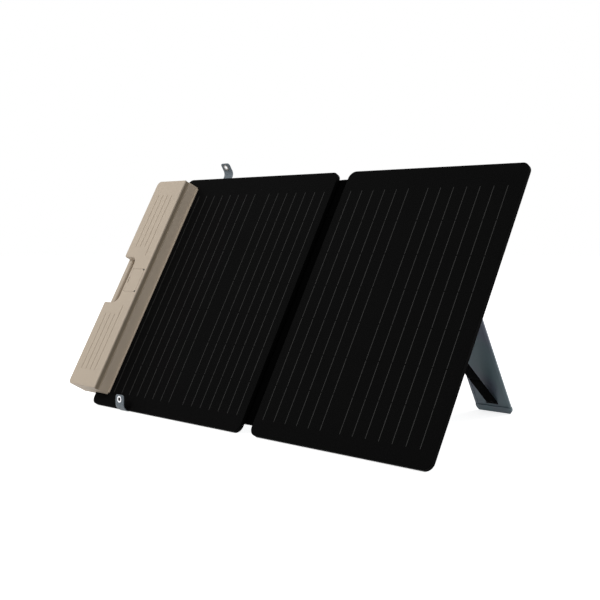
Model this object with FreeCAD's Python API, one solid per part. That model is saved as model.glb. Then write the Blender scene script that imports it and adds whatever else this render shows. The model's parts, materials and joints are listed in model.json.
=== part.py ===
import FreeCAD, Part
import math
import os

# A folding solar suitcase, standing open on its two kickstands.
#
# Everything is first built flat, as the opened kit lies face up on a bench:
#   x runs across both leaves, with 0 at the free edge of the right leaf,
#   s runs up the slope, with 0 at the lower edge of the leaves,
#   n runs out of the sunny face, with 0 at that face.
# The last section leans the whole kit back to TILT and sets it on the floor.
# Sizes are in millimetres and degrees.

V = FreeCAD.Vector

# ---------------------------------------------------------------- the leaves
LEAF_LENGTH = 560.0
RIGHT_WIDTH = 410.5
LEFT_WIDTH = 470.6
LEAF_T = 9.0
LEAF_CORNER_R = 16.0
FOLD_GAP = 29.4
TILT = 60.39

RIM_WALL = 1.6
RIM_EDGE_R = 1.2
SHEET_CLEARANCE = 0.1
BACK_FABRIC_T = 0.8
FILM_T = 0.6
LAMINATE_T = 2.4

# ----------------------------------------------------------------- the cells
CELL_T = 0.3
RIBBON_T = 0.2
RIBBON_WIDTH = 1.2
RIBBON_TAIL = 4.0
CELL_ROWS = 7
CELL_ROW_GAP = 2.0
CELL_COLUMN_GAP = 17.0
CELL_LOW_MARGIN = 32.0
CELL_HIGH_MARGIN = 45.0
CELL_FOLD_MARGIN = 7.0
CELL_FREE_MARGIN = 16.3
CELL_SHELL_MARGIN = 5.5
RIGHT_RIBBONS = (6, 7)
LEFT_RIBBONS = (8, 7)

# ------------------------------------------------- junction box, lead, magnets
JUNCTION_WIDTH = 64.0
JUNCTION_LENGTH = 38.0
JUNCTION_T = 4.2
JUNCTION_WALL = 1.2
JUNCTION_FROM_FOLD = 60.0
DIODE_R = 1.2
DIODE_LENGTH = 7.0
DIODE_COUNT = 2
LEAD_WIDTH = 7.0
LEAD_T = 2.4
LEAD_DROP_FROM_TOP = 96.0
LEAD_CLEARANCE = 0.3
MAGNET_R = 7.0
MAGNET_T = 3.0
MAGNET_INSET = 16.0
MAGNET_END_INSET = 60.0

# ------------------------------------------------------------ the fabric hinge
HINGE_FABRIC_T = 0.8
HINGE_SEAM = 12.0
HINGE_LOW_INSET = 20.0
HINGE_TOP_INSET = 13.0
FOLD_AXIS_RISE = 0.75
FOLD_SPLIT = 0.2

# ------------------------------------------------------- the shell on the left
SHELL_LOW = 25.0
SHELL_TOP_INSET = 22.0
SHELL_OVERHANG = 63.2
SHELL_TUCK = 43.6
SHELL_RISE = 33.6
SHELL_LEAN = 8.1
SHELL_WALL = 2.2
SHELL_OUTER_R = 11.0
SHELL_INNER_R = 4.0
SHELL_EDGE_R = 1.6
BAND_FROM_TOP = 3.2
BAND_HEIGHT = 8.9
BAND_DEPTH = 2.2
LIP_WIDTH = 4.0
LIP_T = 1.4
TRAY_GAP = 0.3
SMALLEST_R = 0.4

NOTCH_LENGTH = 114.0
NOTCH_DEPTH = 45.0
NOTCH_R = 17.0
NOTCH_MOUTH_R = 3.0

GRIP_WIDTH = 16.5
GRIP_DROP = 13.0
GRIP_T = 22.0
GRIP_R = 5.0
GRIP_TENON = 9.0
GRIP_TENON_LENGTH = 9.0
GRIP_CLEARANCE = 0.15

GROOVE_WIDTH = 1.8
GROOVE_DEPTH = 0.7
GROOVE_FIRST = 24.2
GROOVE_PITCH = 16.4
GROOVE_COUNT = 4
GROOVE_END = 38.0
GROOVE_NOTCH_CLEAR = 27.0
GROOVE_LONGER = 22.0

RIB_T = 1.6
RIB_FOOT = 12.0
RIB_PITCH = 52.0
GASKET_WIDTH = 1.0
GASKET_DEPTH = 0.8

# ------------------------------------------------------------- shell fasteners
SCREW_R = 1.5
SCREW_HEAD_R = 2.8
SCREW_HEAD_T = 1.6
SCREW_CLEARANCE = 0.15
SCREW_LENGTH = 14.0
BOSS_R = 4.0
BOSS_SINK = 1.0
TRAY_SCREW_INSET = 9.0
CLAMP_SCREWS_PER_HALF = 3
CLAMP_SCREW_INSET = 24.0

# ---------------------------------------------------------- port bay and cover
FLAP_LENGTH = 56.0
FLAP_WIDTH = 39.0
FLAP_T = 2.0
FLAP_R = 3.0
FLAP_GAP = 0.4
COVER_REST_GAP = 0.3
FLAP_SWING_GAP = 2.8
FLAP_BARREL_R = 2.0
FLAP_PIN_R = 0.9
FLAP_CREASE_INSET = 5.2
PIN_CLEARANCE = 0.08
EAR_T = 3.0
PULL_DEPTH = 1.0
PULL_R = 7.0

BAY_WALL = 1.4
BAY_DEPTH = 15.0
BAY_FLANGE = 2.0
BAY_FLANGE_T = 1.4

CIRCUIT_WIDTH = 42.0
CIRCUIT_LENGTH = 118.0
CIRCUIT_T = 1.6
CIRCUIT_RISE = 4.5
SOCKET_CLEARANCE = 0.2
CIRCUIT_PART_MARGIN = 4.0
COIL_SIDE = 14.0
COIL_T = 8.0
CAPACITOR_R = 4.0
CAPACITOR_TALL = 12.0
CAPACITOR_PITCH = 11.0
CAPACITOR_COUNT = 2
SINK_LENGTH = 16.0
SINK_BASE_T = 3.0
SINK_TALL = 10.0
SINK_FIN_T = 1.2
SINK_FIN_COUNT = 8

DC_WIDTH = 21.0
DC_LENGTH = 12.0
DC_PROUD = 5.0
DC_WALL = 1.8
DC_CONTACT_T = 0.8
USB_A_WIDTH = 14.5
USB_A_LENGTH = 7.2
USB_A_WALL = 0.7
USB_A_TONGUE_T = 2.0
USB_C_WIDTH = 10.4
USB_C_LENGTH = 4.6
USB_C_WALL = 0.8
USB_C_TONGUE_T = 0.7
USB_PROUD = 1.6
USB_CAVITY_DEPTH = 10.0
TONGUE_INSET = 2.2
SOCKET_SPACING = 13.5

# -------------------------------------------------------------- the kickstands
STAND_WIDTH = 86.0
STAND_END_INSET = 3.0
STAND_T = 4.0
STAND_BOARD_T = 2.6
STAND_RIM_WIDTH = 6.0
STAND_TOP_R = 6.0
STAND_FOOT_R = 14.0
FOOT_LENGTH = 16.0
FOOT_WALL = 1.0
RIGHT_STAND_CENTRE = 238.5
STAND_AXIS_FROM_TOP = 26.0
STAND_AXIS_DROP = 4.2
STAND_HEAD_GAP = 3.8

KNUCKLE_R = 3.2
KNUCKLE_COUNT = 5
KNUCKLE_GAP = 0.4
HINGE_WIDTH = 66.0
HINGE_PLATE_T = 1.2
HINGE_PLATE_LENGTH = 20.0
HINGE_ARM_LENGTH = 30.0
HINGE_PIN_R = 1.5
RIVET_R = 1.6
RIVET_HEAD_R = 3.0
RIVET_HEAD_T = 0.8
RIVET_INSET = 12.0

STRAP_WIDTH = 28.0
STRAP_T = 1.4
STRAP_ON_LEAF = 358.0
STRAP_FROM_FOOT = 27.0
STRAP_GAP = 0.3
PATCH_LENGTH = 22.0
PATCH_T = 1.0

# ------------------------------------------------------------ the eyelet tabs
TOP_TAB_FROM_FREE_EDGE = 782.5
LOW_TAB_FROM_FREE_EDGE = 794.5
TAB_WIDTH = 28.0
TAB_T = 1.6
TAB_DEPTH_IN_EDGE = 4.5
TAB_GAP = 0.3
TAB_TIP_R = 6.0
EYELET_R = 4.0
EYELET_WALL = 0.7
EYELET_FLANGE_R = 7.0
EYELET_FLANGE_T = 0.7
EYELET_CLEARANCE = 0.1
EYELET_FROM_TIP = 9.5
TOP_TAB_RUN = 4.5
TOP_TAB_BEND_R = 14.0
TOP_TAB_TURN = 62.0
TOP_TAB_TAIL = 18.0
LOW_TAB_RUN = 5.5
LOW_TAB_BEND_R = 14.0
LOW_TAB_TURN = 62.0
LOW_TAB_TAIL = 19.0

# ------------------------------------------------------------- derived places
RIGHT_X = (-RIGHT_WIDTH, 0.0)
LEFT_X = (-RIGHT_WIDTH - FOLD_GAP - LEFT_WIDTH, -RIGHT_WIDTH - FOLD_GAP)
FOLD_X = -RIGHT_WIDTH - FOLD_GAP / 2
BACK = -LEAF_T

SHELL_OUT = LEFT_X[0] - SHELL_OVERHANG
SHELL_IN = LEFT_X[0] + SHELL_TUCK
SHELL_HIGH = LEAF_LENGTH - SHELL_TOP_INSET
SHELL_LENGTH = SHELL_HIGH - SHELL_LOW
SHELL_MIDDLE = SHELL_LOW + SHELL_LENGTH / 2
CREASE_X = SHELL_IN - SHELL_LEAN
NOTCH = (SHELL_MIDDLE - NOTCH_LENGTH / 2, SHELL_MIDDLE + NOTCH_LENGTH / 2)
NOTCH_X = SHELL_OUT + NOTCH_DEPTH
CEILING = SHELL_RISE - SHELL_WALL
BAND_HIGH = SHELL_RISE - BAND_FROM_TOP
BAND_LOW = BAND_HIGH - BAND_HEIGHT

STAND_AXIS_S = LEAF_LENGTH - STAND_AXIS_FROM_TOP
STAND_LENGTH = STAND_AXIS_S - STAND_END_INSET
STRAP_ON_STAND = STAND_LENGTH - STRAP_FROM_FOOT
STAND_AXIS_N = BACK - STAND_AXIS_DROP
RIGHT_STAND_X = -RIGHT_STAND_CENTRE
LEFT_STAND_X = 2 * FOLD_X + RIGHT_STAND_CENTRE

# The round lower back edge of the rim is the line that the leaves stand on.
SLOPE_S = math.sin(math.radians(TILT))
SLOPE_C = math.cos(math.radians(TILT))
FLOOR_RISE = RIM_EDGE_R * SLOPE_S + (BACK + RIM_EDGE_R) * SLOPE_C - RIM_EDGE_R

# The stands reach from their hinge pins down to the same floor.
STAND_AXIS_RISE = STAND_AXIS_S * SLOPE_S + STAND_AXIS_N * SLOPE_C - FLOOR_RISE
STAND_STEEP = math.degrees(math.asin(STAND_AXIS_RISE / STAND_LENGTH))
STAND_OPEN = 180.0 - TILT - STAND_STEEP


# ------------------------------------------------------------------- helpers
def box(x0, x1, s0, s1, n0, n1):
    return Part.makeBox(x1 - x0, s1 - s0, n1 - n0, V(x0, s0, n0))


def rod_x(x0, x1, s, n, radius):
    return Part.makeCylinder(radius, x1 - x0, V(x0, s, n), V(1, 0, 0))


def rod_s(x, s0, s1, n, radius):
    return Part.makeCylinder(radius, s1 - s0, V(x, s0, n), V(0, 1, 0))


def rod_n(x, s, n0, n1, radius):
    return Part.makeCylinder(radius, n1 - n0, V(x, s, n0), V(0, 0, 1))


def rounded_outline(corners, radii, n):
    """A closed outline at height n whose corners are rounded by their own radii."""
    arcs = []
    ends = []
    for i, corner in enumerate(corners):
        here = V(corner[0], corner[1], n)
        before = (V(*corners[i - 1], n) - here).normalize()
        after = (V(*corners[(i + 1) % len(corners)], n) - here).normalize()
        half = before.getAngle(after) / 2
        reach = radii[i] / math.tan(half)
        inward = (before + after).normalize()
        middle = here + inward * (radii[i] / math.sin(half) - radii[i])
        ends.append((here + before * reach, here + after * reach))
        arcs.append(Part.Arc(ends[i][0], middle, ends[i][1]).toShape())
    edges = []
    for i, arc in enumerate(arcs):
        edges.append(arc)
        start, stop = ends[i][1], ends[(i + 1) % len(ends)][0]
        edges.append(Part.LineSegment(start, stop).toShape())
    return Part.Wire(edges)


def prism(corners, radii, n0, n1):
    return Part.Face(rounded_outline(corners, radii, n0)).extrude(V(0, 0, n1 - n0))


def plate(x0, x1, s0, s1, n0, n1, radius):
    corners = [(x0, s0), (x1, s0), (x1, s1), (x0, s1)]
    return prism(corners, [radius] * len(corners), n0, n1)


def profile(points, x0, x1):
    """A straight-sided section in the s-n plane, drawn out from x0 to x1."""
    ring = [V(x0, s, n) for s, n in points]
    return Part.Face(Part.makePolygon(ring + ring[:1])).extrude(V(x1 - x0, 0, 0))


def edges_at(shape, n):
    """The edges of a shape that lie in the plane at height n."""
    near = 1e-4
    return [e for e in shape.Edges if all(abs(v.Z - n) < near for v in e.Vertexes)]


def joined(shapes):
    return shapes[0].multiFuse(shapes[1:]).removeSplitter()


def group(shapes):
    return Part.Compound(shapes)


def spread(first, last, count):
    """Evenly spaced places from first to last."""
    return [first + (last - first) * i / (count - 1) for i in range(count)]


# ---------------------------------------------------------------- leaf pieces
def leaf_sheet(x, inset, n0, n1):
    return plate(x[0] + inset, x[1] - inset, inset, LEAF_LENGTH - inset, n0, n1,
                 LEAF_CORNER_R - inset)


def lead_middle():
    return LEAF_LENGTH - LEAD_DROP_FROM_TOP


def lead_slot(x0, x1):
    """The channel that the flat lead lies in, just above the back fabric."""
    half = LEAD_WIDTH / 2 + LEAD_CLEARANCE
    floor = BACK + BACK_FABRIC_T
    return box(x0, x1, lead_middle() - half, lead_middle() + half,
               floor, floor + LEAD_T + LEAD_CLEARANCE)


def leaf_rim(x):
    """Moulded edging all round a leaf, open where the lead crosses the fold."""
    rim = leaf_sheet(x, 0.0, BACK, 0.0)
    rim = rim.makeFillet(RIM_EDGE_R, edges_at(rim, BACK))
    rim = rim.makeFillet(RIM_EDGE_R / 2, edges_at(rim, 0.0))
    rim = rim.cut(leaf_sheet(x, RIM_WALL, BACK - 1, 1))
    near_fold = min(x, key=lambda edge: abs(edge - FOLD_X))
    return rim.cut(lead_slot(near_fold - 2 * RIM_WALL, near_fold + 2 * RIM_WALL))


def magnet_places(x):
    """Magnets near both side edges, so the closed leaves hold to each other."""
    free = min(RIGHT_WIDTH, LEFT_WIDTH - SHELL_TUCK)
    near = FOLD_GAP / 2 + MAGNET_INSET
    reach = FOLD_GAP / 2 + free - MAGNET_INSET
    side = 1 if x[0] > FOLD_X else -1
    ends = (MAGNET_END_INSET, LEAF_LENGTH - MAGNET_END_INSET)
    return [(FOLD_X + side * away, s) for away in (near, reach) for s in ends]


def junction_corner(x):
    """Lower left corner of the junction box, beside the fold."""
    side = 1 if x[0] > FOLD_X else -1
    middle = FOLD_X + side * (FOLD_GAP / 2 + JUNCTION_FROM_FOLD + JUNCTION_WIDTH / 2)
    return middle - JUNCTION_WIDTH / 2, lead_middle() - JUNCTION_LENGTH / 2


def junction_floor():
    return BACK + BACK_FABRIC_T + SHEET_CLEARANCE


def leaf_board(x, lead_to):
    """The stiff board that carries the leaf, pocketed for what it holds."""
    top = -FILM_T - LAMINATE_T
    board = leaf_sheet(x, RIM_WALL + SHEET_CLEARANCE, BACK + BACK_FABRIC_T, top)
    jx, js = junction_corner(x)
    gap = SHEET_CLEARANCE
    cuts = [box(jx - gap, jx + JUNCTION_WIDTH + gap, js - gap, js + JUNCTION_LENGTH + gap,
                BACK, junction_floor() + JUNCTION_T + gap)]
    cuts.append(lead_slot(min(FOLD_X, lead_to), max(FOLD_X, lead_to)))
    for mx, ms in magnet_places(x):
        cuts.append(rod_n(mx, ms, top - MAGNET_T, top, MAGNET_R + gap))
    return board.cut(group(cuts))


def magnets(x):
    top = -FILM_T - LAMINATE_T
    return group([rod_n(mx, ms, top - MAGNET_T, top, MAGNET_R) for mx, ms in magnet_places(x)])


def junction_box(x):
    """A shallow box for the diodes, open towards the fold where the lead enters."""
    jx, js = junction_corner(x)
    low = junction_floor()
    shell = box(jx, jx + JUNCTION_WIDTH, js, js + JUNCTION_LENGTH, low, low + JUNCTION_T)
    hollow = box(jx + JUNCTION_WALL, jx + JUNCTION_WIDTH - JUNCTION_WALL,
                 js + JUNCTION_WALL, js + JUNCTION_LENGTH - JUNCTION_WALL,
                 low + JUNCTION_WALL, low + JUNCTION_T - JUNCTION_WALL / 2)
    return shell.cut(group([hollow, lead_slot(jx - 1, jx + JUNCTION_WIDTH + 1)]))


def diodes(x):
    jx, js = junction_corner(x)
    low = junction_floor() + JUNCTION_WALL + DIODE_R
    places = spread(js + JUNCTION_WALL + 2 * DIODE_R,
                    js + JUNCTION_LENGTH - JUNCTION_WALL - 2 * DIODE_R, DIODE_COUNT)
    middle = jx + JUNCTION_WIDTH / 2
    half = DIODE_LENGTH / 2
    return group([rod_x(middle - half, middle + half, s, low, DIODE_R) for s in places])


def cell_columns(x, margins, ribbons):
    """Each column of cells as its own left edge, ribbon pitch and ribbon count."""
    free = x[1] - x[0] - sum(margins) - CELL_COLUMN_GAP
    pitch = free / sum(ribbons)
    second = x[0] + margins[0] + ribbons[0] * pitch + CELL_COLUMN_GAP
    return [(x[0] + margins[0], pitch, ribbons[0]), (second, pitch, ribbons[1])]


def cell_boxes(columns):
    low, high = CELL_LOW_MARGIN, LEAF_LENGTH - CELL_HIGH_MARGIN
    step = (high - low + CELL_ROW_GAP) / CELL_ROWS
    top = -FILM_T - RIBBON_T
    cells = []
    for left, pitch, count in columns:
        for row in range(CELL_ROWS):
            base = low + row * step
            cells.append(box(left, left + pitch * count, base,
                             base + step - CELL_ROW_GAP, top - CELL_T, top))
    return cells


def ribbon_boxes(columns):
    low = CELL_LOW_MARGIN - RIBBON_TAIL
    high = LEAF_LENGTH - CELL_HIGH_MARGIN + RIBBON_TAIL
    ribbons = []
    for left, pitch, count in columns:
        for i in range(count):
            middle = left + pitch * (i + 0.5)
            ribbons.append(box(middle - RIBBON_WIDTH / 2, middle + RIBBON_WIDTH / 2,
                               low, high, -FILM_T - RIBBON_T, -FILM_T))
    return ribbons


def leaf_laminate(x, columns):
    """Backsheet and encapsulant in one block, moulded round cells and ribbons."""
    block = leaf_sheet(x, RIM_WALL + SHEET_CLEARANCE, -FILM_T - LAMINATE_T, -FILM_T)
    return block.cut(cell_boxes(columns) + ribbon_boxes(columns))


def leaf_hinge_half(side):
    """Half of the fabric hinge: sewn on one leaf's back, ending at the fold line."""
    near = FOLD_X + side * FOLD_SPLIT / 2
    far = FOLD_X + side * (FOLD_GAP / 2 + HINGE_SEAM)
    return box(min(near, far), max(near, far), HINGE_LOW_INSET,
               LEAF_LENGTH - HINGE_TOP_INSET, BACK - HINGE_FABRIC_T, BACK)


def flat_lead(x0, x1):
    half = LEAD_WIDTH / 2
    floor = BACK + BACK_FABRIC_T
    return box(x0, x1, lead_middle() - half, lead_middle() + half, floor, floor + LEAD_T)


def leaf(name, x, margins, ribbons, lead_to):
    """The pieces of one leaf that both leaves have, under their own names."""
    columns = cell_columns(x, margins, ribbons)
    inner = RIM_WALL + SHEET_CLEARANCE
    return {
        name + "_leaf_rim": leaf_rim(x),
        name + "_back_fabric": leaf_sheet(x, inner, BACK, BACK + BACK_FABRIC_T),
        name + "_core_board": leaf_board(x, lead_to),
        name + "_magnets": magnets(x),
        name + "_junction_box": junction_box(x),
        name + "_bypass_diodes": diodes(x),
        name + "_cell_laminate": leaf_laminate(x, columns),
        name + "_solar_cells": group(cell_boxes(columns)),
        name + "_cell_ribbons": group(ribbon_boxes(columns)),
        name + "_cover_film": leaf_sheet(x, inner, -FILM_T, 0.0),
    }


# --------------------------------------------------------------- shell pieces
def shell_corners(inset, inner_x):
    """Plan of the shell with its grip notch, every wall moved in by inset."""
    left, right = SHELL_OUT + inset, inner_x - inset
    low, high = SHELL_LOW + inset, SHELL_HIGH - inset
    notch_low, notch_high = NOTCH[0] - inset, NOTCH[1] + inset
    wall = NOTCH_X + inset
    corners = [(left, low), (right, low), (right, high), (left, high),
               (left, notch_high), (wall, notch_high), (wall, notch_low), (left, notch_low)]
    outer = max(SHELL_OUTER_R - inset, SMALLEST_R)
    inner = max(SHELL_INNER_R - inset, SMALLEST_R)
    mouth = max(NOTCH_MOUTH_R - inset, SMALLEST_R)
    pocket = NOTCH_R + inset
    return corners, [outer, inner, inner, outer, mouth, pocket, pocket, mouth]


def beyond_lean(inset):
    """The space outside the leaning inner wall of the shell and its sunk band.

    The wall leans inwards as it rises, and below the top it steps in by
    BAND_DEPTH, so that the top stands out over it as a lid does. Inside, the
    hollow keeps its distance from the band all the way up to the top.
    """
    shift = inset / math.cos(math.atan2(SHELL_LEAN, SHELL_RISE))
    far = SHELL_IN + SHELL_RISE
    low, high = -SHELL_RISE, 2 * SHELL_RISE

    def wall(n, sunk=0.0):
        return V(SHELL_IN - shift - SHELL_LEAN * n / SHELL_RISE - sunk, 0, n)

    step = BAND_LOW - inset
    points = [wall(low), wall(step), wall(step, BAND_DEPTH)]
    if inset:
        points.append(wall(high, BAND_DEPTH))
    else:
        points += [wall(BAND_HIGH, BAND_DEPTH), wall(BAND_HIGH), wall(high)]
    points += [V(far, 0, high), V(far, 0, low), wall(low)]
    return Part.Face(Part.makePolygon(points)).extrude(V(0, LEAF_LENGTH, 0))


def shell_body(inset, n0, n1):
    corners, radii = shell_corners(inset, SHELL_IN + SHELL_LEAN)
    return prism(corners, radii, n0, n1).cut(beyond_lean(inset))


def tray_body(inset, n0, n1):
    corners, radii = shell_corners(inset, LEFT_X[0] - TRAY_GAP)
    return prism(corners, radii, n0, n1)


def tray_screw_places():
    left = SHELL_OUT + TRAY_SCREW_INSET
    right = LEFT_X[0] - TRAY_GAP - SHELL_WALL - BOSS_R + BOSS_SINK
    ends = (SHELL_LOW + TRAY_SCREW_INSET, SHELL_HIGH - TRAY_SCREW_INSET)
    beside = (NOTCH[0] - 2 * TRAY_SCREW_INSET, NOTCH[1] + 2 * TRAY_SCREW_INSET)
    return [(x, s) for x in (left, right) for s in ends + beside]


def clamp_screw_places():
    """Screws through the left leaf's tucked edge, clear of the circuit board."""
    middle = LEFT_X[0] + SHELL_TUCK / 2
    near = CIRCUIT_LENGTH / 2 + 2 * BOSS_R
    far = SHELL_LENGTH / 2 - CLAMP_SCREW_INSET
    places = []
    for away in spread(near, far, CLAMP_SCREWS_PER_HALF):
        places += [(middle, SHELL_MIDDLE - away), (middle, SHELL_MIDDLE + away)]
    return places


def screw(x, s, seat):
    """A countersunk-depth pan screw driven in from the back, its head at seat."""
    head = rod_n(x, s, seat, seat + SCREW_HEAD_T, SCREW_HEAD_R)
    shank = rod_n(x, s, seat + SCREW_HEAD_T, seat + SCREW_HEAD_T + SCREW_LENGTH, SCREW_R)
    slot = box(x - SCREW_HEAD_R, x + SCREW_HEAD_R, s - SCREW_R / 4, s + SCREW_R / 4,
               seat, seat + SCREW_HEAD_T / 2)
    return head.fuse(shank).cut(slot)


def screw_room(x, s, seat):
    """The counterbore and clearance hole that a screw passes through."""
    head = rod_n(x, s, seat - SCREW_HEAD_T, seat + SCREW_HEAD_T, SCREW_HEAD_R + SCREW_CLEARANCE)
    shank = rod_n(x, s, seat, seat + SCREW_HEAD_T + SCREW_LENGTH, SCREW_R + SCREW_CLEARANCE)
    return head.fuse(shank)


def groove(x, s0, s1):
    half = GROOVE_WIDTH / 2
    return plate(x - half, x + half, s0, s1, SHELL_RISE - GROOVE_DEPTH, SHELL_RISE + 1,
                 half * 0.99)


def shell_grooves():
    """Shallow lines pressed in the top of each half, the innermost one longer."""
    cuts = []
    for i in range(GROOVE_COUNT):
        x = SHELL_OUT + GROOVE_FIRST + GROOVE_PITCH * i
        longer = GROOVE_LONGER if i == GROOVE_COUNT - 1 else 0.0
        reach = GROOVE_NOTCH_CLEAR - longer
        cuts.append(groove(x, SHELL_LOW + GROOVE_END, NOTCH[0] - reach))
        cuts.append(groove(x, NOTCH[1] + reach, SHELL_HIGH - GROOVE_END))
    return cuts


def shell_ribs():
    """Cross ribs under the top of the shell, clear of the electronics."""
    clear = CIRCUIT_LENGTH / 2 + RIB_T
    count = int((SHELL_LENGTH / 2 - clear) / RIB_PITCH)
    ribs = []
    for i in range(count):
        away = clear + RIB_PITCH * i
        for s in (SHELL_MIDDLE - away, SHELL_MIDDLE + away):
            ribs.append(box(SHELL_OUT, SHELL_IN, s - RIB_T / 2, s + RIB_T / 2,
                            RIB_FOOT, CEILING))
    return [joined(ribs).common(shell_body(SHELL_WALL, 0.0, CEILING))] if ribs else []


def flap_axis():
    """Where the cover's hinge pin runs, as x and n."""
    x = CREASE_X - FLAP_CREASE_INSET - FLAP_SWING_GAP
    return x, SHELL_RISE - FLAP_BARREL_R


def flap_span():
    return SHELL_MIDDLE - FLAP_LENGTH / 2, SHELL_MIDDLE + FLAP_LENGTH / 2


def flap_edge():
    return flap_axis()[0] - FLAP_WIDTH


def flap_opening(n0, n1):
    """The hole in the top of the shell that the cover closes."""
    low, high = flap_span()
    return box(flap_edge() - FLAP_GAP, CREASE_X - FLAP_CREASE_INSET,
               low - FLAP_GAP, high + FLAP_GAP, n0, n1)


def grip_tenons(gap):
    """The two tongues on the ends of the grip, grown by gap."""
    middle_x = SHELL_OUT + GRIP_WIDTH / 2
    middle_n = SHELL_RISE - GRIP_DROP - GRIP_T / 2
    half = GRIP_TENON / 2 + gap
    reach = GRIP_TENON_LENGTH + gap
    tenons = []
    for s0, s1 in ((NOTCH[0] - reach, NOTCH[0]), (NOTCH[1], NOTCH[1] + reach)):
        tenons.append(box(middle_x - half, middle_x + half, s0, s1,
                          middle_n - half, middle_n + half))
    return tenons


def shell_front():
    """The beige housing on the sunny side, with ribs, bosses and the lip."""
    outer = shell_body(0.0, 0.0, SHELL_RISE)
    outer = outer.makeFillet(SHELL_EDGE_R, edges_at(outer, SHELL_RISE))
    solid = outer.cut(shell_body(SHELL_WALL, -1.0, CEILING))
    lip = box(SHELL_IN - SHELL_WALL, SHELL_IN + LIP_WIDTH, SHELL_LOW + SHELL_INNER_R,
              SHELL_HIGH - SHELL_INNER_R, 0.0, LIP_T)
    bosses = [rod_n(x, s, 0.0, CEILING, BOSS_R) for x, s in tray_screw_places()]
    bosses += [rod_n(x, s, 0.0, CEILING, BOSS_R) for x, s in clamp_screw_places()]
    kept = [b.common(shell_body(SHELL_WALL / 2, 0.0, SHELL_RISE)) for b in bosses]
    solid = joined([solid, lip] + kept + shell_ribs())
    room = [screw_room(x, s, BACK) for x, s in tray_screw_places() + clamp_screw_places()]
    room += grip_tenons(GRIP_CLEARANCE)
    room.append(flap_opening(CEILING - 1.0, SHELL_RISE + 1.0))
    return solid.cut(room + shell_grooves())


def gasket_ring(n0, n1):
    inset = (SHELL_WALL - GASKET_WIDTH) / 2
    return tray_body(inset, n0, n1).cut(tray_body(inset + GASKET_WIDTH, n0 - 1, n1 + 1))


def shell_back():
    """The shallow housing behind, filling in beside the left leaf's edge."""
    outer = tray_body(0.0, BACK, 0.0)
    outer = outer.makeFillet(SHELL_EDGE_R / 2, edges_at(outer, BACK))
    solid = outer.cut(tray_body(SHELL_WALL, BACK + SHELL_WALL, 1.0))
    bosses = [rod_n(x, s, BACK, 0.0, BOSS_R) for x, s in tray_screw_places()]
    solid = joined([solid] + [b.common(outer) for b in bosses])
    room = [screw_room(x, s, BACK) for x, s in tray_screw_places()]
    return solid.cut(room + [gasket_ring(-GASKET_DEPTH, 1.0)])


def grip_bar():
    """The fixed carrying bar across the notch, held by a tongue at each end."""
    top = SHELL_RISE - GRIP_DROP
    gap = GRIP_CLEARANCE
    bar = box(SHELL_OUT, SHELL_OUT + GRIP_WIDTH, NOTCH[0] + gap, NOTCH[1] - gap, top - GRIP_T, top)
    long_edges = [e for e in bar.Edges if e.BoundBox.YLength > NOTCH_LENGTH / 2]
    bar = bar.makeFillet(GRIP_R, long_edges)
    ties = [t.fuse(t.translated(V(0, push, 0))) for t, push in zip(grip_tenons(0.0), (gap, -gap))]
    return joined([bar] + ties)


# ------------------------------------------------------- port bay and sockets
def bay_floor():
    return CEILING - BAY_DEPTH


def bay_plan(grow, n0, n1):
    low, high = flap_span()
    return box(flap_edge() + SHEET_CLEARANCE - grow,
               CREASE_X - FLAP_CREASE_INSET - SHEET_CLEARANCE,
               low + SHEET_CLEARANCE - grow, high - SHEET_CLEARANCE + grow, n0, n1)


def bay_hollow(n0, n1):
    low, high = flap_span()
    inset = SHEET_CLEARANCE + BAY_WALL
    return box(flap_edge() + inset, CREASE_X - FLAP_CREASE_INSET - inset,
               low + inset, high - inset, n0, n1)


def socket_places():
    """Middles of the three sockets along the bay: name, s, width, length."""
    return {
        "dc": (SHELL_MIDDLE - SOCKET_SPACING, DC_WIDTH, DC_LENGTH),
        "usb_a": (SHELL_MIDDLE + (DC_LENGTH - USB_A_LENGTH) / 2, USB_A_WIDTH, USB_A_LENGTH),
        "usb_c": (SHELL_MIDDLE + SOCKET_SPACING, USB_C_WIDTH, USB_C_LENGTH),
    }


def socket_middle_x():
    return flap_edge() + FLAP_WIDTH / 2 - FLAP_BARREL_R


def socket_block(name, gap, n0, n1):
    s, width, length = socket_places()[name]
    x = socket_middle_x()
    return box(x - width / 2 - gap, x + width / 2 + gap, s - length / 2 - gap,
               s + length / 2 + gap, n0, n1)


def port_bay():
    """The tub under the cover, hung by a flange below the top of the shell."""
    floor = bay_floor()
    top = SHELL_RISE - FLAP_T - COVER_REST_GAP
    tub = bay_plan(0.0, floor - BAY_WALL, top)
    flange = bay_plan(BAY_FLANGE, CEILING - BAY_FLANGE_T, CEILING)
    axis_x, axis_n = flap_axis()
    low, high = flap_span()
    inset = SHEET_CLEARANCE
    ears = []
    for s0, s1 in ((low + inset, low + EAR_T), (high - EAR_T, high - inset)):
        far = CREASE_X - FLAP_CREASE_INSET - inset
        ears += [box(axis_x - FLAP_BARREL_R, far, s0, s1, floor, axis_n),
                 box(axis_x, far, s0, s1, floor, axis_n + FLAP_BARREL_R),
                 rod_s(axis_x, s0, s1, axis_n, FLAP_BARREL_R)]
    solid = joined([tub, flange])
    barrel_room = box(axis_x - FLAP_BARREL_R - FLAP_GAP, CREASE_X, low + EAR_T, high - EAR_T,
                      axis_n - FLAP_BARREL_R - FLAP_GAP, SHELL_RISE)
    solid = joined([solid.cut([bay_hollow(floor, SHELL_RISE), barrel_room])] + ears)
    room = [socket_block(name, SOCKET_CLEARANCE, 0.0, floor + 1) for name in socket_places()]
    room.append(rod_s(axis_x, low + EAR_T / 2, high - EAR_T / 2, axis_n,
                      FLAP_PIN_R + PIN_CLEARANCE))
    return solid.cut(room)


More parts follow.
